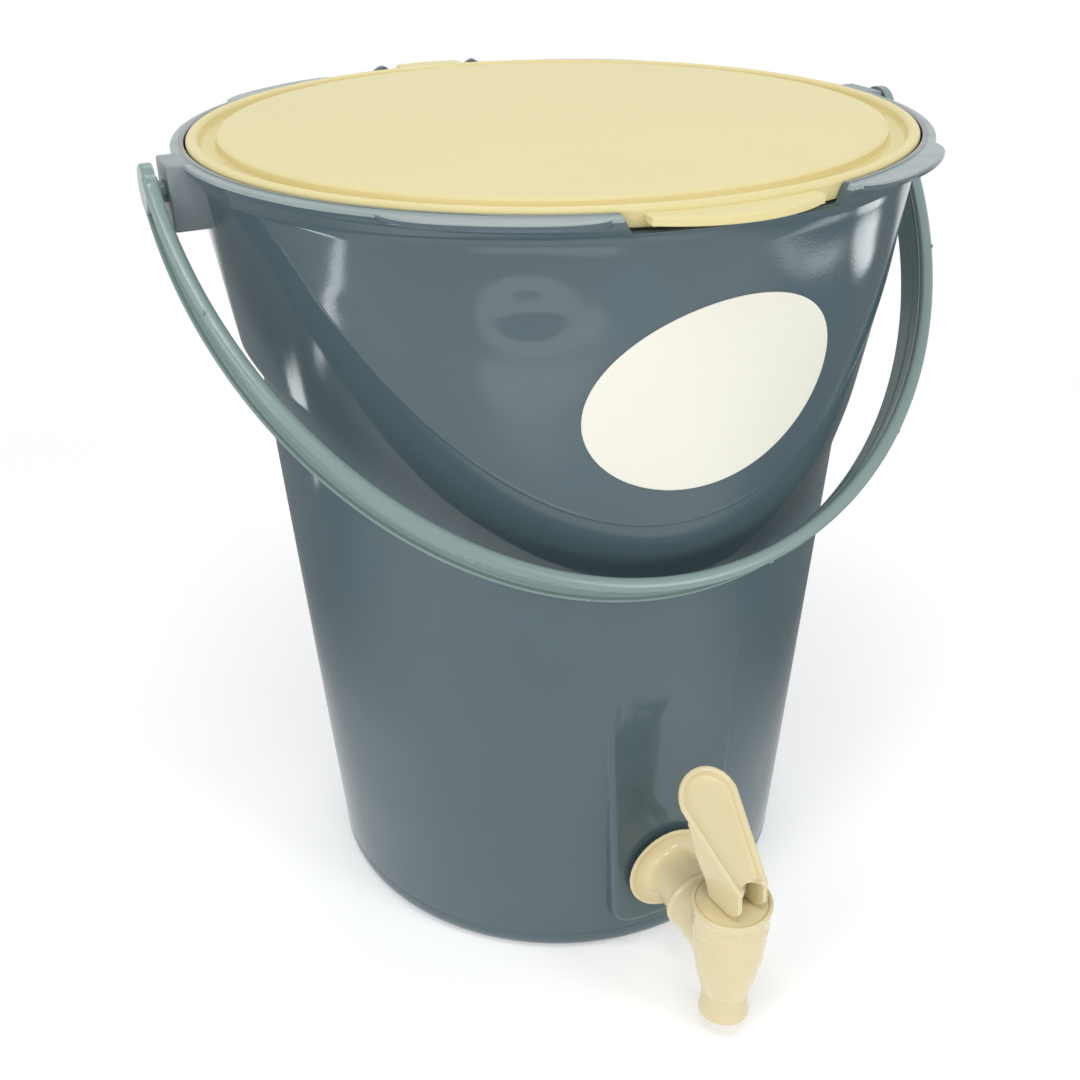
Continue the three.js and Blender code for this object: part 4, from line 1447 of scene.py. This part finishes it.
@dataclass
class Label:
    """The bare oval label on the shield."""

    centre_x: float = 0.3
    centre_z: float = 287.5
    half_width: float = 50.8
    half_height: float = 37
    tilt: float = 10
    lift: float = 0.08
    thick: float = 0.35
    rings: int = 22
    sides: int = 128
    bucket: Bucket = field(default_factory=Bucket)

    def build(self) -> None:
        """Models and dresses the label."""
        tilt = math.radians(self.tilt)
        edge_rows = [(1.0, 0.0), (1.0, 0.6), (0.996, 1.0)]
        rows = edge_rows + [(share, 1.0) for share in np.linspace(0.97, 0, self.rings)]
        rows += [(share, 0.0) for share in np.linspace(0, 1, 6)]
        shares = np.array(rows)
        shield = math.radians(self.bucket.shield_turn)

        def place(column: np.ndarray, row: np.ndarray) -> np.ndarray:
            """Lays the corners of the grid on the bucket's skin.

            Args:
                column: Steps round the oval.
                row: Steps from its edge inwards.

            Returns:
                Their places.
            """
            turn = 2 * np.pi * column / self.sides
            share, height = shares[row, 0], shares[row, 1]
            across, up = self.half_width * share * np.cos(turn), self.half_height * share * np.sin(turn)
            x = self.centre_x + across * math.cos(tilt) - up * math.sin(tilt)
            z = self.centre_z + across * math.sin(tilt) + up * math.cos(tilt)
            # the skin's radius depends on the azimuth and the other way round, so a few rounds find both
            radius = 140.0
            for _ in range(6):
                azimuth = np.arcsin(x / radius)
                radius = self.bucket.skin(azimuth - shield, z) + self.lift + self.thick * height
            azimuth = np.arcsin(x / radius)
            return np.stack([x, -radius * np.cos(azimuth), z], axis=1)

        obj = wrapped("label", self.sides, len(rows) - 1, place)
        finish_piece(obj, "shield_label", "bucket_body", ["label"], Sticker(), 40)


@dataclass
class Studio:
    """The camera, the floor and the lights."""

    camera_place: Point = (-0.2330, -0.5009, 0.4656)
    lens: float = 43.0
    yaw: float = 24.2
    pitch: float = 29.05
    roll: float = -0.8
    aim: Point = (0, 0, 0.2)
    floor_size: float = 30.0
    floor_lift: float = 0.35
    shadow_reach: Pair = (0.35, 0.9)
    room_light: float = 0.42

    def camera(self) -> None:
        """Sets the camera where the photograph was taken from."""
        data = bpy.data.cameras.new("camera")
        data.lens = self.lens
        data.sensor_width = 36
        data.clip_start = 0.01
        camera = bpy.data.objects.new("camera", data)
        bpy.context.scene.collection.objects.link(camera)
        yaw, pitch = math.radians(self.yaw), math.radians(self.pitch)
        forward = Vector((math.sin(yaw) * math.cos(pitch), math.cos(yaw) * math.cos(pitch), -math.sin(pitch)))
        right = forward.cross(Vector((0, 0, 1))).normalized()
        up = right.cross(forward)
        roll = math.radians(self.roll)
        tilted_right = math.cos(roll) * right + math.sin(roll) * up
        tilted_up = -math.sin(roll) * right + math.cos(roll) * up
        turn = Matrix((tilted_right, tilted_up, -forward)).transposed()
        camera.matrix_world = Matrix.Translation(self.camera_place) @ turn.to_4x4()
        bpy.context.scene.camera = camera

    def lamp(self, name: str, place: Point, size: Pair, power: float) -> None:
        """Adds a soft lamp that faces the object.

        Args:
            name: Its name.
            place: Where it stands, in metres.
            size: Its width and height in metres.
            power: Its power in watts.
        """
        data = bpy.data.lights.new(name, "AREA")
        data.shape = "RECTANGLE"
        data.size, data.size_y = size
        data.energy = power
        lamp = bpy.data.objects.new(name, data)
        bpy.context.scene.collection.objects.link(lamp)
        lamp.location = place
        lamp.visible_camera = False
        lamp.rotation_euler = (Vector(self.aim) - Vector(place)).to_track_quat("-Z", "Y").to_euler()

    def floor(self) -> None:
        """Lays a plain white floor that keeps the object's shadow, and shines white further off."""
        bpy.ops.mesh.primitive_plane_add(size=self.floor_size, location=(0, 0, 0))
        floor = bpy.context.object
        floor.name = "floor"
        made = bpy.data.materials.new("floor")
        tree = new_tree(made)
        pale = add_node(tree, "BsdfDiffuse", {"Color": (0.88, 0.88, 0.88, 1)})
        lift = add_node(tree, "Emission", {"Strength": self.floor_lift})
        near = add_node(tree, "AddShader", {}, {0: pale.outputs[0], 1: lift.outputs[0]})
        white = add_node(tree, "Emission", {"Strength": 1.0})
        place = add_node(tree, "NewGeometry").outputs["Position"]
        reach = add_node(tree, "VectorMath", {"operation": "LENGTH"}, {0: place}).outputs["Value"]
        fade = {"From Min": self.shadow_reach[0], "From Max": self.shadow_reach[1]}
        far = add_node(tree, "MapRange", fade, {"Value": reach})
        links = {0: far.outputs[0], 1: near.outputs[0], 2: white.outputs[0]}
        shadow = add_node(tree, "MixShader", {}, links).outputs[0]
        add_node(tree, "OutputMaterial", {}, {"Surface": shadow})
        floor.data.materials.append(made)

    def card(self, name: str, middle: Pair, size: Pair, turn: float, tone: float, soft: float) -> None:
        """Lays an oval card on the floor, that only shows as a reflection in the glossy walls.

        Args:
            name: Its name.
            middle: Its middle, in metres.
            size: Its length and width.
            turn: Degrees that its length is turned from X.
            tone: How bright it is.
            soft: The share of its radius over which it fades out.
        """
        bpy.ops.mesh.primitive_plane_add(size=1)
        card = bpy.context.object
        card.name = name
        card.scale = (*size, 1)
        card.rotation_euler = (0, 0, math.radians(turn))
        card.location = (*middle, 0.001 * (1 + tone))
        made = bpy.data.materials.new(name)
        tree = new_tree(made)
        here = add_node(tree, "TexCoord").outputs["Object"]
        reach = add_node(tree, "VectorMath", {"operation": "LENGTH"}, {0: here}).outputs["Value"]
        fade = {"interpolation_type": "SMOOTHSTEP", "From Min": 0.5, "From Max": 0.5 * (1 - soft)}
        share = add_node(tree, "MapRange", fade, {"Value": reach}).outputs[0]
        glow = add_node(tree, "Emission", {"Color": (0.97, 1.0, 1.0, 1), "Strength": tone}).outputs[0]
        clear = add_node(tree, "BsdfTransparent").outputs[0]
        mix = add_node(tree, "MixShader", {}, {0: share, 1: clear, 2: glow}).outputs[0]
        add_node(tree, "OutputMaterial", {}, {"Surface": mix})
        card.data.materials.append(made)
        card.visible_camera = card.visible_diffuse = card.visible_shadow = False

    def world(self) -> None:
        """Fills the room with even light, and shows white behind the object."""
        world = bpy.data.worlds.new("room")
        tree = new_tree(world)
        path = add_node(tree, "LightPath").outputs
        either = {"operation": "MAXIMUM"}
        shiny = add_node(tree, "Math", either, {0: path["Is Glossy Ray"], 1: path["Is Transmission Ray"]})
        seen = add_node(tree, "Math", either, {0: path["Is Camera Ray"], 1: shiny.outputs[0]}).outputs[0]
        tone = {"Color": (0.97, 0.99, 1.0, 1), "Strength": self.room_light}
        room = add_node(tree, "Background", tone).outputs[0]
        white = add_node(tree, "Background", {"Color": (1, 1, 1, 1), "Strength": 1.0}).outputs[0]
        mix = add_node(tree, "MixShader", {}, {0: seen, 1: room, 2: white}).outputs[0]
        add_node(tree, "OutputWorld", {}, {"Surface": mix})
        bpy.context.scene.world = world

    def build(self) -> None:
        """Sets up the studio."""
        self.camera()
        self.floor()
        self.world()
        self.lamp("ceiling", (-0.3, -0.6, 1.9), (0.7, 0.45), 8.3)
        self.lamp("window", (-1.8, -0.85, 1.15), (0.6, 1.2), 10)
        self.lamp("front", (0.8, -1.6, 1.25), (0.5, 0.8), 8.3)
        self.lamp("back", (0.5, 1.0, 1.8), (1.0, 0.6), 5)
        # the glossy wall mirrors the floor: dark cards stand in for the room, and bright ones for its windows
        self.card("left side", (-0.42, 0.55), (1.2, 1.4), 0, 0.22, 0.45)
        self.card("right side", (0.75, -0.05), (1.45, 1.3), 0, 0.18, 0.35)
        self.card("left window", (-0.66, 0.06), (0.42, 0.07), 41, 7, 0.3)
        self.card("left glint", (-0.43, 0.3), (0.12, 0.05), -30, 4.5, 0.4)
        self.card("front window", (-0.27, -0.53), (0.5, 0.25), -32, 2.1, 0.25)
        self.card("right window", (0.92, -0.06), (0.32, 0.2), 60, 4, 0.45)
        self.card("right gleam", (0.66, -0.42), (0.66, 0.08), 50, 3, 0.5)


def dress_hidden_nodes() -> None:
    """Gives the CAD nodes that still show their finishes."""
    finishes = {
        RUBBER: ("lid_seal", "tap_outer_washer", "tap_inner_washer"),
        SILICONE: ("tap_bonnet_seal", "tap_stem", "tap_plug"),
        ACETAL: ("tap_lever_pin", "tap_nut"),
    }
    for finish, names in finishes.items():
        for name in names:
            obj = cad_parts[name]
            obj.data.materials.clear()
            obj.data.materials.append(FINISHES.get(finish))
            log.info("%s: carried over", name)


def main() -> None:
    """Builds the studio and every piece in order."""
    logging.basicConfig(level=logging.INFO, format="%(message)s")
    bpy.ops.object.select_all(action="DESELECT")
    bpy.context.scene.view_settings.view_transform = "Standard"
    for part in (Studio(), Bucket(), Lid(), Bail(), Strainer(), Tap(), Label()):
        part.build()
    dress_hidden_nodes()


if __name__ == "__main__":
    main()
